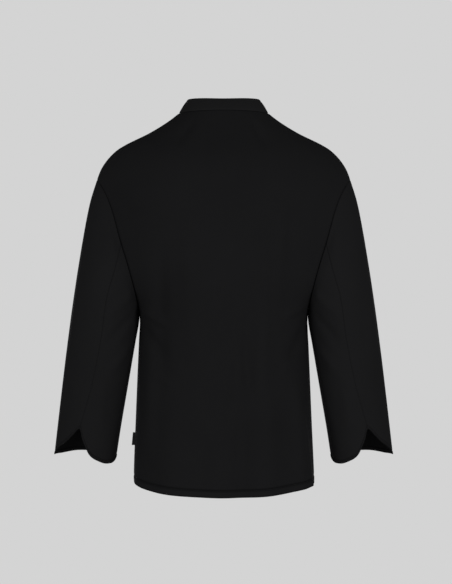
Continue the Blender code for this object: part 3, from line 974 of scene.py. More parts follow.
@dataclass
class Panel:
    """One cut piece of cloth, laid over a grid of points on its outer face."""

    name: str
    node: str
    slot: str
    grid: np.ndarray
    thickness: float = 0.0013
    held: str = "draped"
    # painted shade for each grid point, darker above 0, and a painted highlight below 0
    shade: Optional[np.ndarray] = None
    heart: Optional[np.ndarray] = None

    def flat_size(self) -> Triple:
        """Width, length and area of the cut, measured over the cloth.

        Returns:
            Metres, metres and square metres.
        """
        width = float(arc_lengths(self.grid, 1)[:, -1].max())
        length = float(arc_lengths(self.grid, 0)[-1].max())
        a = self.grid[1:, 1:] - self.grid[:-1, :-1]
        b = self.grid[1:, :-1] - self.grid[:-1, 1:]
        area = float(np.linalg.norm(np.cross(a, b), axis=2).sum() / 2)
        return round(width, 3), round(length, 3), round(min(area, width * length), 4)

    def build(self, material: Material) -> bpy.types.Object:
        """Args:
            material: the cloth.

        Returns:
            The finished object.
        """
        rows, columns = self.grid.shape[:2]
        flat = np.stack([arc_lengths(self.grid, 1), arc_lengths(self.grid, 0)], axis=-1)
        flat[..., 0] -= flat[:, columns // 2, 0][:, None]
        shape = bmesh.new()
        cut = shape.loops.layers.uv.new("cut")
        # a point attribute that carries the panel's painted shade and highlight into its colour
        painted_shade_layer = shape.verts.layers.float.new("seam_shade")
        shade = np.zeros((rows, columns)) if self.shade is None else self.shade
        bmesh.ops.create_grid(shape, x_segments=columns - 1, y_segments=rows - 1, size=1.0)
        reach = max(abs(v.co.x) for v in shape.verts)
        places = {}
        for vert in shape.verts:
            c = round((vert.co.x / reach + 1) / 2 * (columns - 1))
            r = round((vert.co.y / reach + 1) / 2 * (rows - 1))
            places[vert] = (r, c)
            vert.co = self.grid[r, c]
            vert[painted_shade_layer] = float(shade[r, c])
        for face in shape.faces:
            for loop in face.loops:
                loop[cut].uv = flat[places[loop.vert]]
        self.face_outwards(shape)
        obj = link(self.name, shape, material)
        wall = obj.modifiers.new("wall", "SOLIDIFY")
        wall.thickness = self.thickness
        wall.offset = -1.0
        wall.use_even_offset = True
        seat(obj, self.slot, self.node)
        width, length, area = self.flat_size()
        LOG.info("%s: cut %.3f x %.3f m", self.name, width, length)
        return obj

    def face_outwards(self, shape: Shape) -> None:
        """Turns the faces so that they look away from the hollow.

        Args:
            shape: the sheet's mesh, before it gets a thickness.
        """
        shape.normal_update()
        heart = Vector(hollow_heart(self.grid) if self.heart is None else self.heart)
        votes = sum((f.calc_center_median() - heart).dot(f.normal) for f in shape.faces)
        if votes < 0:
            bmesh.ops.reverse_faces(shape, faces=shape.faces)


@dataclass
class StitchRun:
    """A line of single stitches laid over cloth."""

    points: np.ndarray
    normals: np.ndarray
    pitch: float = 0.0032
    length: float = 0.0024
    width: float = 0.00050
    height: float = 0.00030
    proud: float = 0.15  # share of its height that it stands off the cloth

    def sew(self, shape: Shape) -> None:
        """Adds its stitches to a mesh.

        Args:
            shape: the mesh that takes the stitches.
        """
        steps = np.linalg.norm(np.diff(self.points, axis=0), axis=1)
        run = np.concatenate([[0.0], np.cumsum(steps)])
        places = np.arange(self.pitch / 2, run[-1], self.pitch)
        for place in places:
            point = self.at(run, self.points, place)
            ahead = self.at(run, self.points, min(place + self.pitch / 2, run[-1]))
            normal = Vector(self.at(run, self.normals, place)).normalized()
            way = Vector(ahead - point)
            if way.length < 1e-6:
                continue
            way.normalize()
            side = normal.cross(way).normalized()
            turn = Matrix((way, side, normal)).transposed().to_4x4()
            size = Matrix.Diagonal((self.length / 2, self.width / 2, self.height / 2, 1.0))
            spot = Matrix.Translation(Vector(point) + normal * self.height * self.proud)
            put = spot @ turn @ size
            bmesh.ops.create_icosphere(shape, subdivisions=1, radius=1.0, matrix=put)

    @staticmethod
    def at(run: np.ndarray, values: np.ndarray, place: float) -> np.ndarray:
        """Values part of the way along the line."""
        return np.array([np.interp(place, run, values[:, k]) for k in range(3)])


def sew_all(name: str, runs: list[StitchRun], slot: str, thread: Material) -> None:
    """Makes one object of several lines of stitches and puts it on the jacket.

    Args:
        name: the object's name.
        runs: the lines of stitches.
        slot: its colour slot.
        thread: its finish.
    """
    shape = bmesh.new()
    for run in runs:
        run.sew(shape)
    seat(link(name, shape, thread), slot)
    LOG.info("%s: %d lines", name, len(runs))


# --- the body
@dataclass
class BodyCloth:
    """What back and fronts share: rows from hem to neck, hem turning and rolled seams."""

    form: BodyForm
    side_rows: int = 62
    hole_rows: int = 46
    shoulder_rows: int = 34
    shoulder_crowding: float = 0.35
    hem_height: float = 0.012
    hem_step: float = 0.0016
    groove_half: float = 0.0017
    groove_depth: float = 0.00130
    turning_lift: float = 0.00080
    pucker: float = 0.00018
    pucker_reach: float = 0.020
    pucker_rhythm: float = 37.0
    pucker_start: float = 1.0
    pucker_skew: float = 0.6
    side_roll: float = 0.0003
    hole_roll: float = 0.0013
    hole_low_share: float = 0.45
    shoulder_roll: float = 0.0004
    neck_seam_roll: float = 0.0011
    seam_half: float = 0.0022
    # painted shade over the hem's stitches and at its edge, and a painted highlight on the band
    # between them
    stitch_shade: float = 0.80
    stitch_shade_rise: float = 0.0006
    stitch_shade_half: float = 0.0019
    edge_shade: float = 0.85
    edge_shade_half: float = 0.0016
    band_painted_highlight: float = 0.06
    band_start: float = 0.003
    band_end: float = 0.002
    settle_steps: int = 60
    settle_pace: float = 0.5
    settle_stages: float = 0.16
    settle_width: float = 0.22

    # how far above the hem the lowest rows are, in millimetres
    LOW: ClassVar[tuple] = (0, 1.5, 3.5, 6, 8.5, 10, 10.8, 11.4, 12, 12.6, 13.2, 14, 16, 19, 23)
    # first stage, over how many: the armhole's roll starts, deepens, ends; the shoulder's starts
    ROLL_STAGES: ClassVar[tuple] = ((0.94, 0.10), (1.25, 0.40), (1.82, 0.16), (1.95, 0.10))
    # how quickly it waves in radians a metre, share, start in radians
    PUCKERS: ClassVar[tuple] = ((411.0, 1.0, 0.7), (263.0, 0.7, 2.1), (589.0, 0.5, 4.0))

    def stages(self) -> np.ndarray:
        """Rows from hem to neck, crowded at the hem's stitching and at the neck.

        Returns:
            Rising stages, 0 at the hem to 3 at the neck.
        """
        low = np.array(self.LOW) / 1000 / (self.form.underarm[2] - self.form.hem_z)
        side = np.linspace(low[-1], 1.0, self.side_rows + 1)[1:]
        hole = np.linspace(1.0, 2.0, self.hole_rows + 1)[1:]
        top = 2.0 + crowded(self.shoulder_rows, self.shoulder_crowding)[1:]
        return np.concatenate([low, side, hole, top])

    def relaxed(self, grid: np.ndarray, across: np.ndarray) -> np.ndarray:
        """Lets the cloth settle where its rows turn round the underarm and the shoulder tip.

        Args:
            grid: rows of points from the hem up.
            across: how far in from the seams each column is, from 0.

        Returns:
            The grid with its columns eased there, and its edges as they were.
        """
        stages = self.stages()[1:-1, None]
        near = bell(stages - 1, self.settle_stages) + bell(stages - 2, self.settle_stages)
        share = self.settle_pace * (near * ease(across / self.settle_width)[None, :])[..., None]
        for _ in range(self.settle_steps):
            between = (grid[:-2] + grid[2:]) / 2 - grid[1:-1]
            grid = np.concatenate([grid[:1], grid[1:-1] + share * between, grid[-1:]])
        return grid

    def hem_rise(self) -> np.ndarray:
        """How far above the hem each row is, in metres; large above the side seam."""
        return self.stages() * (self.form.underarm[2] - self.form.hem_z)

    def hem_relief(self, grid: np.ndarray) -> np.ndarray:
        """The turning's thickness, the groove of its stitches and their slight puckers.

        Args:
            grid: the panel's outer face, rows by columns.

        Returns:
            Heights above the plain cloth in metres, one for each point.
        """
        rise = self.hem_rise()[:, None]
        above = rise - self.hem_height
        turning = self.turning_lift * (1 - ease(above / self.hem_step + 0.5))
        groove = self.groove_depth * bell(above, self.groove_half)
        x = grid[..., 0] + self.pucker_skew * grid[..., 1]
        ripple = sum(share * np.sin(x * turns + start) for turns, share, start in self.PUCKERS)
        swell = 0.5 + 0.5 * np.sin(x * self.pucker_rhythm + self.pucker_start)
        near = bell(rise, self.pucker_reach) * swell
        return turning - groove + self.pucker * ripple * near

    def hem_painted_light(self, grid: np.ndarray) -> np.ndarray:
        """Painted shade on the hem, most just over its stitches and at the very edge, with a
        painted highlight on the band between them.

        Args:
            grid: the panel's outer face, rows by columns.

        Returns:
            Shades for the seam_shade attribute, one for each point.
        """
        rise = self.hem_rise()[:, None]
        above = rise - self.hem_height - self.stitch_shade_rise
        shade = self.stitch_shade * bell(above, self.stitch_shade_half)
        shade = shade + self.edge_shade * bell(rise, self.edge_shade_half)
        below = (self.hem_height - rise) / self.band_end - 1
        band = ease(rise / self.band_start) * ease(below)
        return np.broadcast_to(shade - self.band_painted_highlight * band, grid.shape[:2])

    def edge_roll(self, *ways_in: np.ndarray) -> np.ndarray:
        """How far the cloth rolls in at its seams, by the distances in from them.

        Args:
            ways_in: distances in metres from one seam each, one for each point.

        Returns:
            Depths in metres, one for each point.
        """
        stages, low = self.stages()[:, None], self.hole_low_share
        starts, deepens, ends, above = (
            ease((stages - first) / over) for first, over in self.ROLL_STAGES
        )
        deep = self.hole_roll * (low + (1 - low) * deepens)
        depth = self.side_roll + (deep - self.side_roll) * starts * (1 - ends)
        depth = depth + (self.shoulder_roll - self.side_roll) * above
        return depth * sum(bell(way, self.seam_half) for way in ways_in)

    def finished(self, grid: np.ndarray, lift: np.ndarray, *ways_in: np.ndarray) -> np.ndarray:
        """Adds the hem, the rolled seams and the roll under the collar to a panel.

        Args:
            grid: the panel's points.
            lift: how far folds and grooves already raise each point.
            ways_in: distances in from each edge that has a seam.

        Returns:
            The points of the finished outer face.
        """
        neck = self.neck_seam_roll * bell(still_to_go(grid, 0), self.seam_half)
        lift = lift + self.hem_relief(grid) - neck - self.edge_roll(*ways_in)
        return grid + outward_normals(grid) * lift[..., None]

    def lay(self, node: str, grid: np.ndarray, wardrobe: Wardrobe) -> StitchRun:
        """Makes a panel of the body.

        Args:
            node: the node that it stands for.
            grid: its finished outer face.
            wardrobe: the materials.

        Returns:
            Its line of hem stitches.
        """
        # the hem's painted shade and painted highlight
        shade = self.hem_painted_light(grid)
        Panel(f"{node}_cloth", node, "body_cloth", grid, shade=shade).build(wardrobe.body)
        row = nearest(self.hem_rise(), self.hem_height)
        return StitchRun(grid[row], outward_normals(grid)[row])


@dataclass
class Back:
    """The back, in one piece."""

    cloth: BodyCloth
    half_columns: int = 62
    crowding: float = 0.55
    fullness: float = 1.3
    # places are (x, height)
    creases: tuple[Crease, ...] = creases_of(
        # the four folds that hang to the hem
        (-84, -500, -78, -745, 24, 6.4, 0, 1),
        (-34, -560, -34, -745, 18, -5.2, 0, 1),
        (-138, -500, -158, -745, 14, 4.4, 0, 1),
        (98, -540, 104, -745, 24, 4, 0, 1),
        # a thin pressed ridge beside the right side seam
        (-148, -560, -169.5, -745, 3.2, 2, -1, 1),
        # long shallow hangs from the shoulder blades
        (-118, -150, -96, -480, 15, 3.2, 4, 0),
        (-78, -200, -68, -610, 15, 4, -3, 0),
        (-48, -330, -54, -600, 12, -3.6, 2, 0),
        (66, -190, 50, -520, 20, 3.8, 3, 0),
        (118, -230, 116, -600, 18, -4.2, 4, 0),
        (140, -420, 142, -700, 13, 2.8, 2, 0),
        (20, -230, 10, -480, 22, 2.4, 0, 0),
        # a hollow that opens downwards from the middle of the waist
        (-26, -420, 22, -640, 19, -5.2, 3, 0),
        (-34, -424, -48, -560, 11, -3.6, -2, 0),
        (-20, -416, 78, -500, 8, 2.2, 4, 0),
        (36, -600, 44, -745, 20, -3, 0, 1),
        # drag lines from the underarms
        (166, -372, 98, -418, 9, 4.2, 4, 0),
        (164, -400, 108, -480, 10, -3.8, 5, 0),
        (-166, -366, -106, -400, 8, 4, -3, 0),
        (-162, -398, -116, -500, 11, -4.2, -4, 0),
        # small ones beside the armholes and at the waist
        (206, -182, 136, -190, 6, -2.2, 3, 0),
        (-202, -205, -142, -216, 7, -1.8, -3, 0),
        (150, -500, 86, -530, 8, 2.4, 2, 0),
        (-154, -470, -106, -492, 7, 2.6, -2, 0),
        # under the collar
        (52, -12, 92, -74, 10, -2.4, 2, 0),
        (-50, -12, -84, -86, 9, -2.6, -2, 0),
    )

    def grid(self) -> np.ndarray:
        """The outer face, from the right edge to the left.

        Returns:
            Points in metres, rows from hem to neck.
        """
        half = crowded(2 * self.half_columns, self.crowding)[: self.half_columns + 1]
        half = 1 - half * 2
        across = np.concatenate([-half, half[::-1][1:]])
        form = self.cloth.form
        rows = [form.along(form.row_handles(s, Facing.BACK), across) for s in self.cloth.stages()]
        grid = self.cloth.relaxed(np.array(rows), 1 - np.abs(across))
        lift = self.fullness * sum(c.heights(grid[..., 0], grid[..., 2]) for c in self.creases)
        return self.cloth.finished(grid, lift, arc_lengths(grid, 1), still_to_go(grid, 1))

    def build(self, wardrobe: Wardrobe) -> list[StitchRun]:
        """Makes the back and returns its line of hem stitches."""
        return [self.cloth.lay("back", self.grid(), wardrobe)]


@dataclass
class Front:
    """One front, from its free edge past the middle out to its side seam."""

    cloth: BodyCloth
    side: Side
    outer: bool
    overlap_columns: int = 30
    overlap_crowding: float = 0.75
    half_columns: int = 60
    crowding: float = 0.55
    lift: float = 0.0021
    lift_start: float = 0.043
    lift_full: float = 0.024
    calm_to: float = 0.055
    calm_fade: float = 0.05
    edge_stitch: float = 0.0065
    edge_groove_half: float = 0.0013
    edge_groove_depth: float = 0.00091
    # places are (x, height)
    creases: tuple[Crease, ...] = creases_of(
        (120, -520, 132, -745, 22, 4.6, 0, 1),
        (88, -600, 86, -745, 16, -3.4, 0, 1),
        (146, -190, 118, -420, 14, 3, 4, 0),
        (184, -322, 112, -360, 8, 2.7, 3, 0),
        (176, -350, 118, -440, 10, -2.7, 5, 0),
        (130, -90, 104, -170, 12, -2.1, 2, 0),
        (160, -460, 104, -492, 8, 1.7, 2, 0),
        (100, -250, 92, -500, 18, 2.1, -2, 0),
    )

    def columns(self, handles: np.ndarray, stage: float) -> np.ndarray:
        """Shares across one row, the first at the free edge.

        Args:
            handles: the row's four points.
            stage: which row it is.

        Returns:
            Places along the row, to 1 at the side.
        """
        form = self.cloth.form
        free = form.across_at(handles, -float(form.overlap_edge(stage)))
        over = crowded(2 * self.overlap_columns, self.overlap_crowding)[: self.overlap_columns]
        main = crowded(2 * self.half_columns, self.crowding)[self.half_columns :]
        return np.concatenate([free * (1 - over * 2), main * 2 - 1])

    def grid(self) -> np.ndarray:
        """The outer face of the left front, from the free edge to the side.

        Returns:
            Points in metres, rows from hem to neck.
        """
        form = self.cloth.form
        rows = []
        for stage in self.cloth.stages():
            handles = form.row_handles(stage, Facing.FRONT)
            across = self.columns(handles, stage)
            rows.append(form.along(handles, across))
        grid = self.cloth.relaxed(np.array(rows), 1 - across)
        x = grid[..., 0]
        lift = sum(c.heights(x, grid[..., 2]) for c in self.creases)
        lift = lift * ease((x - self.calm_to) / self.calm_fade)
        if self.outer:
            edge = form.overlap_edge(self.cloth.stages())[:, None]
            start, full = edge + self.lift_start, edge + self.lift_full
            lift = lift + self.lift * ease((start - x) / (start - full))
        groove = bell(arc_lengths(grid, 1) - self.edge_stitch, self.edge_groove_half)
        lift = lift - self.edge_groove_depth * groove
        return self.cloth.finished(grid, lift, still_to_go(grid, 1))

    def build(self, wardrobe: Wardrobe) -> list[StitchRun]:
        """Makes the front and returns the stitches of its hem and of an outer free edge.

        Args:
            wardrobe: the materials to dress it in.

        Returns:
            The lines of stitches.
        """
        grid = self.grid()
        if self.side is Side.RIGHT:
            grid = grid * MIRROR
        runs = [self.cloth.lay(f"front_{self.side.name.lower()}", grid, wardrobe)]
        if self.outer:
            picks = np.argmin(np.abs(arc_lengths(grid, 1) - self.edge_stitch), axis=1)
            rows = np.arange(len(grid))
            runs.append(StitchRun(grid[rows, picks], outward_normals(grid)[rows, picks]))
        return runs


# --- the sleeves
@dataclass
class Sleeve:
    """One sleeve in two pieces, with the notched vent at the foot of the back seam."""

    form: SleeveForm
    side: Side
    rows: int = 120
    upper_columns: int = 84
    under_columns: int = 56
    crowding: float = 0.6
    stitch_rise: float = 0.0060
    stitch_pitch: float = 0.0029
    overlap: float = 0.0014
    tuck: float = 0.0009
    seam_roll: float = 0.0010
    long_seam_share: float = 0.55
    seam_half: float = 0.0022
    groove_depth: float = 0.00100
    groove_half: float = 0.0014
    band_lift: float = 0.0006
    band_step: float = 0.0016
    # painted shade at the cuff's stitches and at its edge
    stitch_shade: float = 0.75
    edge_shade: float = 0.80
    edge_shade_half: float = 0.0016
    top_rows: int = 9
    fold_start: float = 0.03
    tip_calm: float = 0.75
    tip_calm_angle: float = 26.0
    low_calm: float = 0.6
    low_calm_from: float = 60.0
    low_calm_over: float = 80.0
    arc_radius: float = 0.065
    outer_length: float = 0.5425
    inner_length: float = 0.2960
    # places are (arc round the sleeve from its outermost line, height)
    creases: tuple[Crease, ...] = creases_of(
        (60, -215, 95, -320, 12, 3, 4, 0),
        (150, -330, 96, -410, 11, 3.2, 5, 0),
        (165, -372, 104, -470, 10, -2.9, 4, 0),
        (185, -430, 120, -520, 11, 2.7, 3, 0),
        (30, -300, 58, -520, 16, 2.3, -3, 0),
        (118, -500, 126, -640, 14, 2.3, 2, 0),
        (45, -470, 36, -620, 13, -1.9, 2, 0),
        (-20, -240, -34, -460, 18, 2.5, 4, 0),
        (-98, -300, -70, -400, 11, 3.4, 4, 0),
        (-110, -372, -60, -430, 10, -3.8, 3, 0),
        (-112, -430, -50, -470, 11, 3.8, 3, 0),
        (-104, -490, -52, -530, 10, 2.9, -3, 0),
        (-60, -520, -66, -640, 14, -2.3, 2, 0),
    )

    # how far from the cuff's edge the lowest rows are, in millimetres
    LOW: ClassVar[tuple] = (20, 16, 13, 11, 9.5, 8.2, 7.2, 6.6, 6, 5.4, 4.8, 3.6, 2.2, 1, 0)

    def shares(self, angles: np.ndarray) -> np.ndarray:
        """Shares down the sleeve for each row and column, crowded at the cuff's stitching.

        Args:
            angles: the columns' start angles, in degrees.

        Returns:
            Shares from 0 at the armhole to the cuff's edge, rows by columns.
        """
        outer, inner = self.outer_length, self.inner_length
        length = (outer + inner) / 2 + (outer - inner) / 2 * np.cos(np.radians(angles))
        low = self.form.ends(angles) - np.array(self.LOW)[:, None] / 1000 / length
        top = np.linspace(0, self.fold_start, self.top_rows)[:-1]
        start = np.concatenate([top, np.linspace(self.fold_start, 1.0, self.rows)])
        return np.concatenate([start[:-1, None] * low[0], low])

    def grid(self, angles: np.ndarray) -> np.ndarray:
        """The outer face over these columns, from the armhole to the cuff.

        Args:
            angles: the columns' start angles, in degrees.

        Returns:
            Points in metres of a left sleeve, rows by columns.
        """
        shares = self.shares(angles)
        start = np.broadcast_to(angles, shares.shape)
        grid = self.form.points(start, shares)
        turned = self.form.bent(start, shares)
        turned = np.where(turned > 180, turned - 360, turned)
        arc = np.radians(turned) * self.arc_radius
        lift = sum(c.heights(arc, grid[..., 2]) for c in self.creases)
        run, left = arc_lengths(grid, 0), still_to_go(grid, 0)
        lift = lift * ease(run / self.fold_start)
        calm = 1 - self.tip_calm * bell(turned, self.tip_calm_angle)
        low = ease((np.abs(turned) - self.low_calm_from) / self.low_calm_over)
        calm = calm * (1 - self.low_calm * low)
        lift = lift - self.seam_roll * calm * bell(run, self.seam_half)
        band = 1 - ease((left - self.stitch_rise) / self.band_step + 0.5)
        groove = bell(left - self.stitch_rise, self.groove_half)
        lift = lift + self.band_lift * band - self.groove_depth * groove
        for away in (arc_lengths(grid, 1), still_to_go(grid, 1)):
            lift = lift - self.seam_roll * self.long_seam_share * bell(away, self.seam_half)
        lift[0] -= self.tuck
        raised = unit(grid[0] - grid[1]) * self.overlap
        grid = grid + outward_normals(grid) * lift[..., None]
        grid[0] += raised
        return grid

    def shade(self, grid: np.ndarray) -> np.ndarray:
        """Painted shade on the cuff at its stitches and at its edge.

        Args:
            grid: the panel's outer face, rows by columns.

        Returns:
            Shades for the seam_shade attribute, one for each point.
        """
        left = still_to_go(grid, 0)
        groove = bell(left - self.stitch_rise, self.groove_half)
        return self.stitch_shade * groove + self.edge_shade * bell(left, self.edge_shade_half)

    def build(self, wardrobe: Wardrobe) -> list[StitchRun]:
        """Makes upper and under sleeve and returns the stitches round the cuff.

        Args:
            wardrobe: the materials to dress it in.

        Returns:
            The lines of stitches.
        """
        top, front = self.form.seam_top, self.form.front_seam
        runs = []
        for part, start, end, columns in (
            ("upper", front - 360, top, self.upper_columns),
            ("under", top, front, self.under_columns),
        ):
            grid = self.grid(start + (end - start) * crowded(columns, self.crowding))
            if self.side is Side.RIGHT:
                grid = grid * MIRROR
            node = f"sleeve_{part}_{self.side.name.lower()}"
            panel = Panel(f"{node}_cloth", node, "sleeve_cloth", grid, shade=self.shade(grid))
            panel.build(wardrobe.sleeve)
            row = nearest(still_to_go(grid, 0).mean(axis=1), self.stitch_rise)
            runs.append(StitchRun(grid[row], outward_normals(grid)[row], self.stitch_pitch))
        return runs


# --- the collar
@dataclass
class Collar:
    """The stand collar, one strip with rounded ends that meet at the middle front."""

    form: BodyForm
    height: float = 0.0322
    end_radius: float = 0.009
    half_split: float = 0.0012
    overlap: float = 0.0012
    tuck: float = 0.0010
    thickness: float = 0.0022
    lean_back: float = 42.0
    lean_side: float = 32.0
    lean_front: float = 13.0
    half_columns: int = 110
    back_columns: int = 90
    rows: int = 18
    crowding: float = 0.5
    stitch_drop: float = 0.0055
    stitch_pitch: float = 0.0029
    groove_depth: float = 0.00045
    groove_half: float = 0.0012
    edge_roll: float = 0.0006
    seam_roll: float = 0.0010
    seam_half: float = 0.0020
    belly: float = 0.0009

    # place along the rounded end, as shares of its radius
    ROUNDING: ClassVar[tuple] = (0.0, 0.03, 0.1, 0.2, 0.34, 0.5, 0.7)

    def loop(self) -> np.ndarray:
        """The seam line from the middle front, round the left and the back, to the right.

        Returns:
            Points in metres, in order.
        """
        form, across = self.form, crowded(2 * self.half_columns, self.crowding)
        front = form.along(form.row_handles(3.0, Facing.FRONT), across[self.half_columns :] * 2 - 1)
        inwards = np.linspace(1, 0, self.back_columns)[1:]
        back = form.along(form.row_handles(3.0, Facing.BACK), inwards)
        half = np.concatenate([front, back])
        run = arc_lengths(half[None], 1)[0]
        near = self.half_split + self.end_radius * np.array(self.ROUNDING)
        rest = np.linspace(self.half_split + self.end_radius, run[-1], self.half_columns)
        places = np.concatenate([near, rest])
        half = np.stack([np.interp(places, run, half[:, k]) for k in range(3)], axis=-1)
        return np.concatenate([half, half[-2::-1] * MIRROR])

    def rise(self, loop: np.ndarray) -> tuple[np.ndarray, np.ndarray]:
        """How high the collar stands at each place, and which way.

        Args:
            loop: the seam line's points.

        Returns:
            Heights in metres and unit directions, one for each point.
        """
        run = arc_lengths(loop[None], 1)[0]
        short = np.maximum(self.end_radius - np.minimum(run, run[-1] - run), 0.0)
        height = self.height - self.end_radius + np.sqrt(self.end_radius**2 - short**2)
        way = unit(np.gradient(loop, axis=0))
        level = unit(np.stack([-way[:, 1], way[:, 0], np.zeros(len(loop))], axis=-1))
        towards = (level[:, :2] * -loop[:, :2]).sum(axis=1, keepdims=True)
        inwards = np.where(towards > 0, level, -level)
        round_share = np.abs(np.arctan2(loop[:, 0], loop[:, 1])) / math.pi
        behind = self.lean_back + (self.lean_side - self.lean_back) * ease(round_share * 2)
        before = self.lean_side + (self.lean_front - self.lean_side) * ease(round_share * 2 - 1)
        tilt = np.radians(np.where(round_share < 0.5, behind, before))[:, None]
        return height, np.cos(tilt) * UP + np.sin(tilt) * inwards

    def grid(self) -> np.ndarray:
        """The outer face, from seam to top edge.

        Returns:
            Points in metres, rows by columns.
        """
        loop = self.loop()
        height, up = self.rise(loop)
        shares = crowded(self.rows, self.crowding)
        grid = np.array([loop + up * (height * s)[:, None] for s in shares])
        grid[0] -= up * self.overlap
        run, left = arc_lengths(grid, 0), still_to_go(grid, 0)
        lift = self.belly * np.sin(np.pi * np.clip(run / self.height, 0, 1))
        lift = lift - self.groove_depth * bell(left - self.stitch_drop, self.groove_half)
        lift = lift - self.seam_roll * bell(run, self.seam_half)
        lift = lift - self.edge_roll * bell(left, self.groove_half)
        lift[0] -= self.tuck
        return grid + self.normals(grid) * lift[..., None]

    def normals(self, grid: np.ndarray) -> np.ndarray:
        """Normals that look away from the neck.

        Args:
            grid: the collar's outer face, rows by columns.

        Returns:
            Unit normals, one for each point.
        """
        normals = grid_normals(grid)
        votes = (normals[..., :2] * grid[..., :2]).sum()
        return normals if votes > 0 else -normals

    def build(self, wardrobe: Wardrobe) -> list[StitchRun]:
        """Makes the collar and returns the stitches below its top edge.

        Args:
            wardrobe: the materials to dress it in.

        Returns:
            The line of stitches.
        """
        grid = self.grid()
        axis = grid.mean(axis=(0, 1)) * np.array((0.0, 1.0, 1.0))
        panel = Panel("collar_cloth", "collar", "collar_cloth", grid, self.thickness, heart=axis)
        panel.build(wardrobe.collar)
        row = nearest(still_to_go(grid, 0).mean(axis=1), self.stitch_drop)
        return [StitchRun(grid[row], self.normals(grid)[row], self.stitch_pitch)]


# --- trim
@dataclass
class Button:
    """A round four-hole button with a raised rim, and the thread that crosses it."""

    name: str
    centre: np.ndarray
    normal: np.ndarray
    radius: float = 0.010
    thickness: float = 0.0032
    gap: float = 0.0004
    segments: int = 40
    hole_radius: float = 0.0009
    hole_spread: float = 0.0018
    hole_depth: float = 0.0002
    hole_taper: float = 0.9
    face_share: float = 0.66  # height of its sunk middle, as a share of its thickness
    thread_lift: float = 0.0003
    thread_reach: float = 1.5  # half length of a strand, as a share of the holes' spread
    strand_half: float = 0.00022
    strand_side_step: float = 0.00028
    strand_rise: float = 0.00012

    def placing(self) -> Matrix:
        """The matrix that stands the button on the cloth.

        Returns:
            A turn and a shift, from the disc's own axes.
        """
        normal = Vector(self.normal).normalized()
        side = normal.cross(Vector(UP)).normalized()
        up = side.cross(normal) * -1
        turn = Matrix((side, up, side.cross(up))).transposed().to_4x4()
        return Matrix.Translation(Vector(self.centre) + normal * self.gap) @ turn

    def profile(self) -> tuple[Pair, ...]:
        """Radius and height down the middle of the turned disc, underside first.

        Returns:
            Pairs in metres, from the middle below to the middle above.
        """
        r, t = self.radius, self.thickness
        return (
            (0.0, 0.0),
            (r * 0.88, 0.0),
            (r * 0.97, t * 0.16),
            (r, t * 0.42),
            (r * 0.99, t * 0.72),
            (r * 0.94, t * 0.94),
            (r * 0.88, t),
            (r * 0.81, t * 0.95),
            (r * 0.72, t * 0.74),
            (r * 0.60, t * 0.66),
            (r * 0.30, t * 0.63),
            (0.0, t * 0.62),
        )

    def place(self, part: str, shape: Shape, finish: Material, *nodes: str) -> None:
        """Stands a shape made round the origin on the cloth, as one piece of the button."""
        bmesh.ops.transform(shape, matrix=self.placing(), verts=shape.verts)
        seat(link(f"{self.name}_{part}", shape, finish), "button_plastic", *nodes)

    def build(self, wardrobe: Wardrobe) -> None:
        """Makes the disc, its wells and its thread.

        Args:
            wardrobe: the materials to dress it in.
        """
        self.disc(wardrobe)
        self.wells(wardrobe)
        self.threads(wardrobe)

    def disc(self, wardrobe: Wardrobe) -> None:
        """The turned disc.

        Args:
            wardrobe: the materials to dress it in.
        """
        shape = bmesh.new()
        line = [shape.verts.new((r, 0.0, h)) for r, h in self.profile()]
        edges = [shape.edges.new(pair) for pair in zip(line, line[1:])]
        bmesh.ops.spin(
            shape,
            geom=line + edges,
            cent=(0, 0, 0),
            axis=(0, 0, 1),
            angle=2 * math.pi,
            steps=self.segments,
            use_merge=True,
        )
        bmesh.ops.remove_doubles(shape, verts=shape.verts, dist=1e-6)
        bmesh.ops.recalc_face_normals(shape, faces=shape.faces)
        self.place("disc", shape, wardrobe.button, self.name)

    def wells(self, wardrobe: Wardrobe) -> None:
        """Four small wells, near-black with painted shadow.

        Args:
            wardrobe: the materials to dress it in.
        """
        shape = bmesh.new()
        for x in (-self.hole_spread, self.hole_spread):
            for y in (-self.hole_spread, self.hole_spread):
                bmesh.ops.create_cone(
                    shape,
                    cap_ends=True,
                    segments=14,
                    radius1=self.hole_radius,
                    radius2=self.hole_radius * self.hole_taper,
                    depth=self.hole_depth,
                    matrix=Matrix.Translation((x, y, self.thickness * self.face_share)),
                )
        self.place("wells", shape, wardrobe.hollow)

    def threads(self, wardrobe: Wardrobe) -> None:
        """Two crossing bundles of thread over the wells.

        Args:
            wardrobe: the materials to dress it in.
        """
        shape = bmesh.new()
        top = self.thickness * self.face_share + self.thread_lift
        half = self.strand_half
        size = Matrix.Diagonal((self.hole_spread * self.thread_reach, half, half, 1.0))
        for turn in (45.0, 135.0):
            spin = Matrix.Rotation(math.radians(turn), 4, "Z")
            for strand in (-1, 0, 1):
                lie = Matrix.Translation((0, 0, top + self.strand_rise * strand)) @ spin
                put = lie @ Matrix.Translation((0, self.strand_side_step * strand, 0)) @ size
                bmesh.ops.create_uvsphere(
                    shape, u_segments=10, v_segments=6, radius=1.0, matrix=put
                )
        self.place("thread", shape, wardrobe.thread)


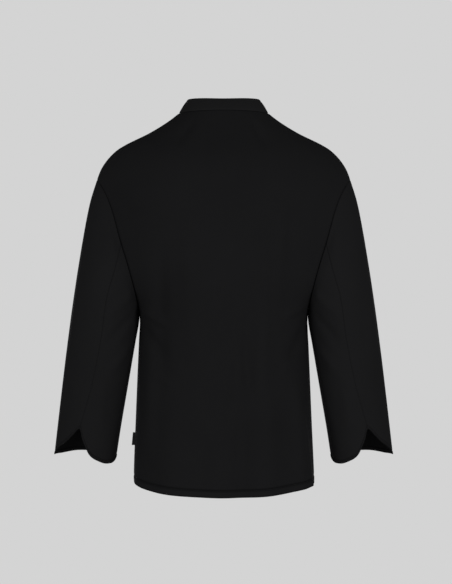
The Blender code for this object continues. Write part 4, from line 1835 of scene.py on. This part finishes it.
@dataclass
class ButtonRows:
    """Two rows of buttons down the front."""

    form: BodyForm
    x: float = 0.068
    top_z: float = -0.130
    pitch: float = 0.085
    count: int = 5
    lift: float = 0.0021

    def place(self, x: float, z: float) -> tuple[np.ndarray, np.ndarray]:
        """The outer front's face at this x and z, and the way it looks.

        Args:
            x: metres to the wearer's left of the middle.
            z: height in metres.

        Returns:
            The point, and a unit direction.
        """
        form, step = self.form, 1e-3

        def at(stage: float) -> tuple[np.ndarray, float]:
            """The row at a stage, and where along it x is."""
            handles = form.row_handles(stage, Facing.FRONT)
            return handles, form.across_at(handles, x)

        def is_below(stage: float) -> bool:
            """Whether that row passes x below z."""
            handles, across = at(stage)
            return bool(form.along(handles, np.array(across))[2] < z)

        stage = bisect(0.0, 3.0, is_below)
        handles, across = at(stage)
        point = form.along(handles, np.array(across))
        sideways = form.along(handles, np.array(across + step)) - point
        higher = form.row_handles(stage + step, Facing.FRONT)
        normal = unit(np.cross(sideways, form.along(higher, np.array(across)) - point))
        normal = normal if normal[1] < 0 else -normal
        return point + normal * self.lift, normal

    def build(self, wardrobe: Wardrobe) -> None:
        """Makes every button.

        Args:
            wardrobe: the materials to dress it in.
        """
        for side in Side:
            for i in range(self.count):
                point, normal = self.place(self.x * side.value, self.top_z - self.pitch * i)
                Button(f"button_{side.name.lower()}_{i + 1}", point, normal).build(wardrobe)
        LOG.info("buttons: two rows of %d", self.count)


@dataclass
class SideTab:
    """A short ribbon folded in two and caught in the left side seam."""

    form: BodyForm
    top_z: float = -0.625
    height: float = 0.025
    reach: float = 0.0058
    flare: float = 0.0012
    thickness: float = 0.0016
    gap: float = -0.0012
    wall: float = 0.00045
    rows: int = 20
    columns: int = 36
    fold_share: float = 0.4

    def grid(self) -> np.ndarray:
        """The ribbon's outer face, round its fold, from top to bottom.

        Returns:
            Points in metres, rows by columns.
        """
        rows = []
        half = self.thickness / 2
        for down in np.linspace(0, 1, self.rows + 1):
            z = self.top_z - self.height * down
            share = (z - self.form.hem_z) / (self.form.underarm[2] - self.form.hem_z)
            start = self.form.side_point(share)[0] + self.gap
            flat = self.reach + self.flare * down - half
            line = []
            for t in np.linspace(-1, 1, self.columns + 1):
                if abs(t) < self.fold_share:
                    a = t / self.fold_share * math.pi / 2
                    line.append((start + flat + half * math.cos(a), half * math.sin(a), z))
                else:
                    x = start + flat * (1 - abs(t)) / (1 - self.fold_share)
                    line.append((x, math.copysign(half, t), z))
            rows.append(line)
        return np.array(rows)

    def build(self, wardrobe: Wardrobe) -> None:
        """Makes the tab."""
        ribbon = ("side_tab_ribbon", "side_tab", "tab_ribbon", self.grid(), self.wall, "folded")
        Panel(*ribbon).build(wardrobe.ribbon)


# --- the studio
@dataclass(frozen=True)
class SoftLight:
    """A large square softbox aimed at the jacket."""

    name: str
    place: Triple
    size: float
    watts: float
    aim: Triple = (0.0, 0.0, -0.36)

    def hang(self) -> None:
        """Puts the light in the scene."""
        data = bpy.data.lights.new(self.name, "AREA")
        data.shape = "SQUARE"
        data.size = self.size
        data.energy = self.watts
        obj = bpy.data.objects.new(self.name, data)
        obj.location = self.place
        way = Vector(self.aim) - Vector(self.place)
        obj.rotation_euler = way.to_track_quat("-Z", "Y").to_euler()
        obj.visible_camera = False
        bpy.context.scene.collection.objects.link(obj)


@dataclass
class Studio:
    """Floor, backdrop tone, soft lights and camera."""

    floor_z: float = -1.16
    floor_radius: float = 1.2
    backdrop: float = 0.658
    fill: float = 0.30
    distance: float = 3.2
    camera_x: float = -0.0046
    camera_z: float = -0.350
    frame_height: float = 1.1452
    sensor: float = 36.0
    lights: tuple[SoftLight, ...] = field(
        default_factory=lambda: (
            SoftLight("key_behind", (-1.55, 1.85, -0.26), 0.9, 19.5),
            SoftLight("fill_behind", (1.60, 1.85, -0.30), 1.2, 17.0),
            SoftLight("key_front", (0.95, -2.30, -0.24), 0.9, 22.0),
            SoftLight("fill_front", (-0.85, -2.30, -0.30), 1.2, 15.0),
        )
    )

    def build(self) -> None:
        """Sets up the whole studio."""
        self.lay_floor()
        self.tone_backdrop()
        for light in self.lights:
            light.hang()
        self.stand_camera()
        bpy.context.scene.view_settings.view_transform = "Standard"

    def lay_floor(self) -> None:
        """A plain pale disc, well below the hem."""
        shape = bmesh.new()
        bmesh.ops.create_circle(shape, cap_ends=True, radius=self.floor_radius, segments=96)
        bmesh.ops.translate(shape, vec=(0.0, 0.0, self.floor_z), verts=shape.verts)
        floor = link("studio_floor", shape, PaintFinish().material())

    def tone_backdrop(self) -> None:
        """A pale grey all round, which lights the cloth only a little."""
        world = bpy.data.worlds.new("studio")
        bpy.context.scene.world = world
        world.use_nodes = True
        tree = world.node_tree
        seen, soft = tree.nodes["Background"], tree.nodes.new("ShaderNodeBackground")
        for background, grey in ((seen, self.backdrop), (soft, self.fill)):
            background.inputs["Color"].default_value = (grey, grey, grey, 1.0)
        path = tree.nodes.new("ShaderNodeLightPath")
        mix = tree.nodes.new("ShaderNodeMixShader")
        tree.links.new(path.outputs["Is Camera Ray"], mix.inputs[0])
        tree.links.new(soft.outputs[0], mix.inputs[1])
        tree.links.new(seen.outputs[0], mix.inputs[2])
        tree.links.new(mix.outputs[0], tree.nodes["World Output"].inputs["Surface"])

    def stand_camera(self) -> None:
        """A level camera behind the jacket."""
        data = bpy.data.cameras.new("camera")
        data.sensor_fit = "VERTICAL"
        data.sensor_height = self.sensor
        data.lens = self.sensor * self.distance / self.frame_height
        camera = bpy.data.objects.new("camera", data)
        camera.location = (self.camera_x, self.distance, self.camera_z)
        camera.rotation_euler = (math.pi / 2, 0.0, math.pi)
        bpy.context.scene.collection.objects.link(camera)
        bpy.context.scene.camera = camera


def main() -> None:
    """Builds the jacket and its studio, in order."""
    logging.basicConfig(level=logging.INFO, format="%(name)s %(message)s")
    wardrobe = make_wardrobe()
    form = BodyForm()
    cloth = BodyCloth(form)
    runs = Back(cloth).build(wardrobe)
    runs += Front(cloth, Side.LEFT, outer=True).build(wardrobe)
    runs += Front(cloth, Side.RIGHT, outer=False).build(wardrobe)
    sew_all("body_stitches", runs, "body_cloth", wardrobe.thread)
    sleeve_form = SleeveForm(form)
    for side in Side:
        runs = Sleeve(sleeve_form, side).build(wardrobe)
        sew_all(f"cuff_{side.name.lower()}_stitches", runs, "sleeve_cloth", wardrobe.thread)
    sew_all("collar_stitches", Collar(form).build(wardrobe), "collar_cloth", wardrobe.thread)
    ButtonRows(form).build(wardrobe)
    SideTab(form).build(wardrobe)
    Studio().build()
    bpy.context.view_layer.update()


if __name__ == "__main__":
    main()
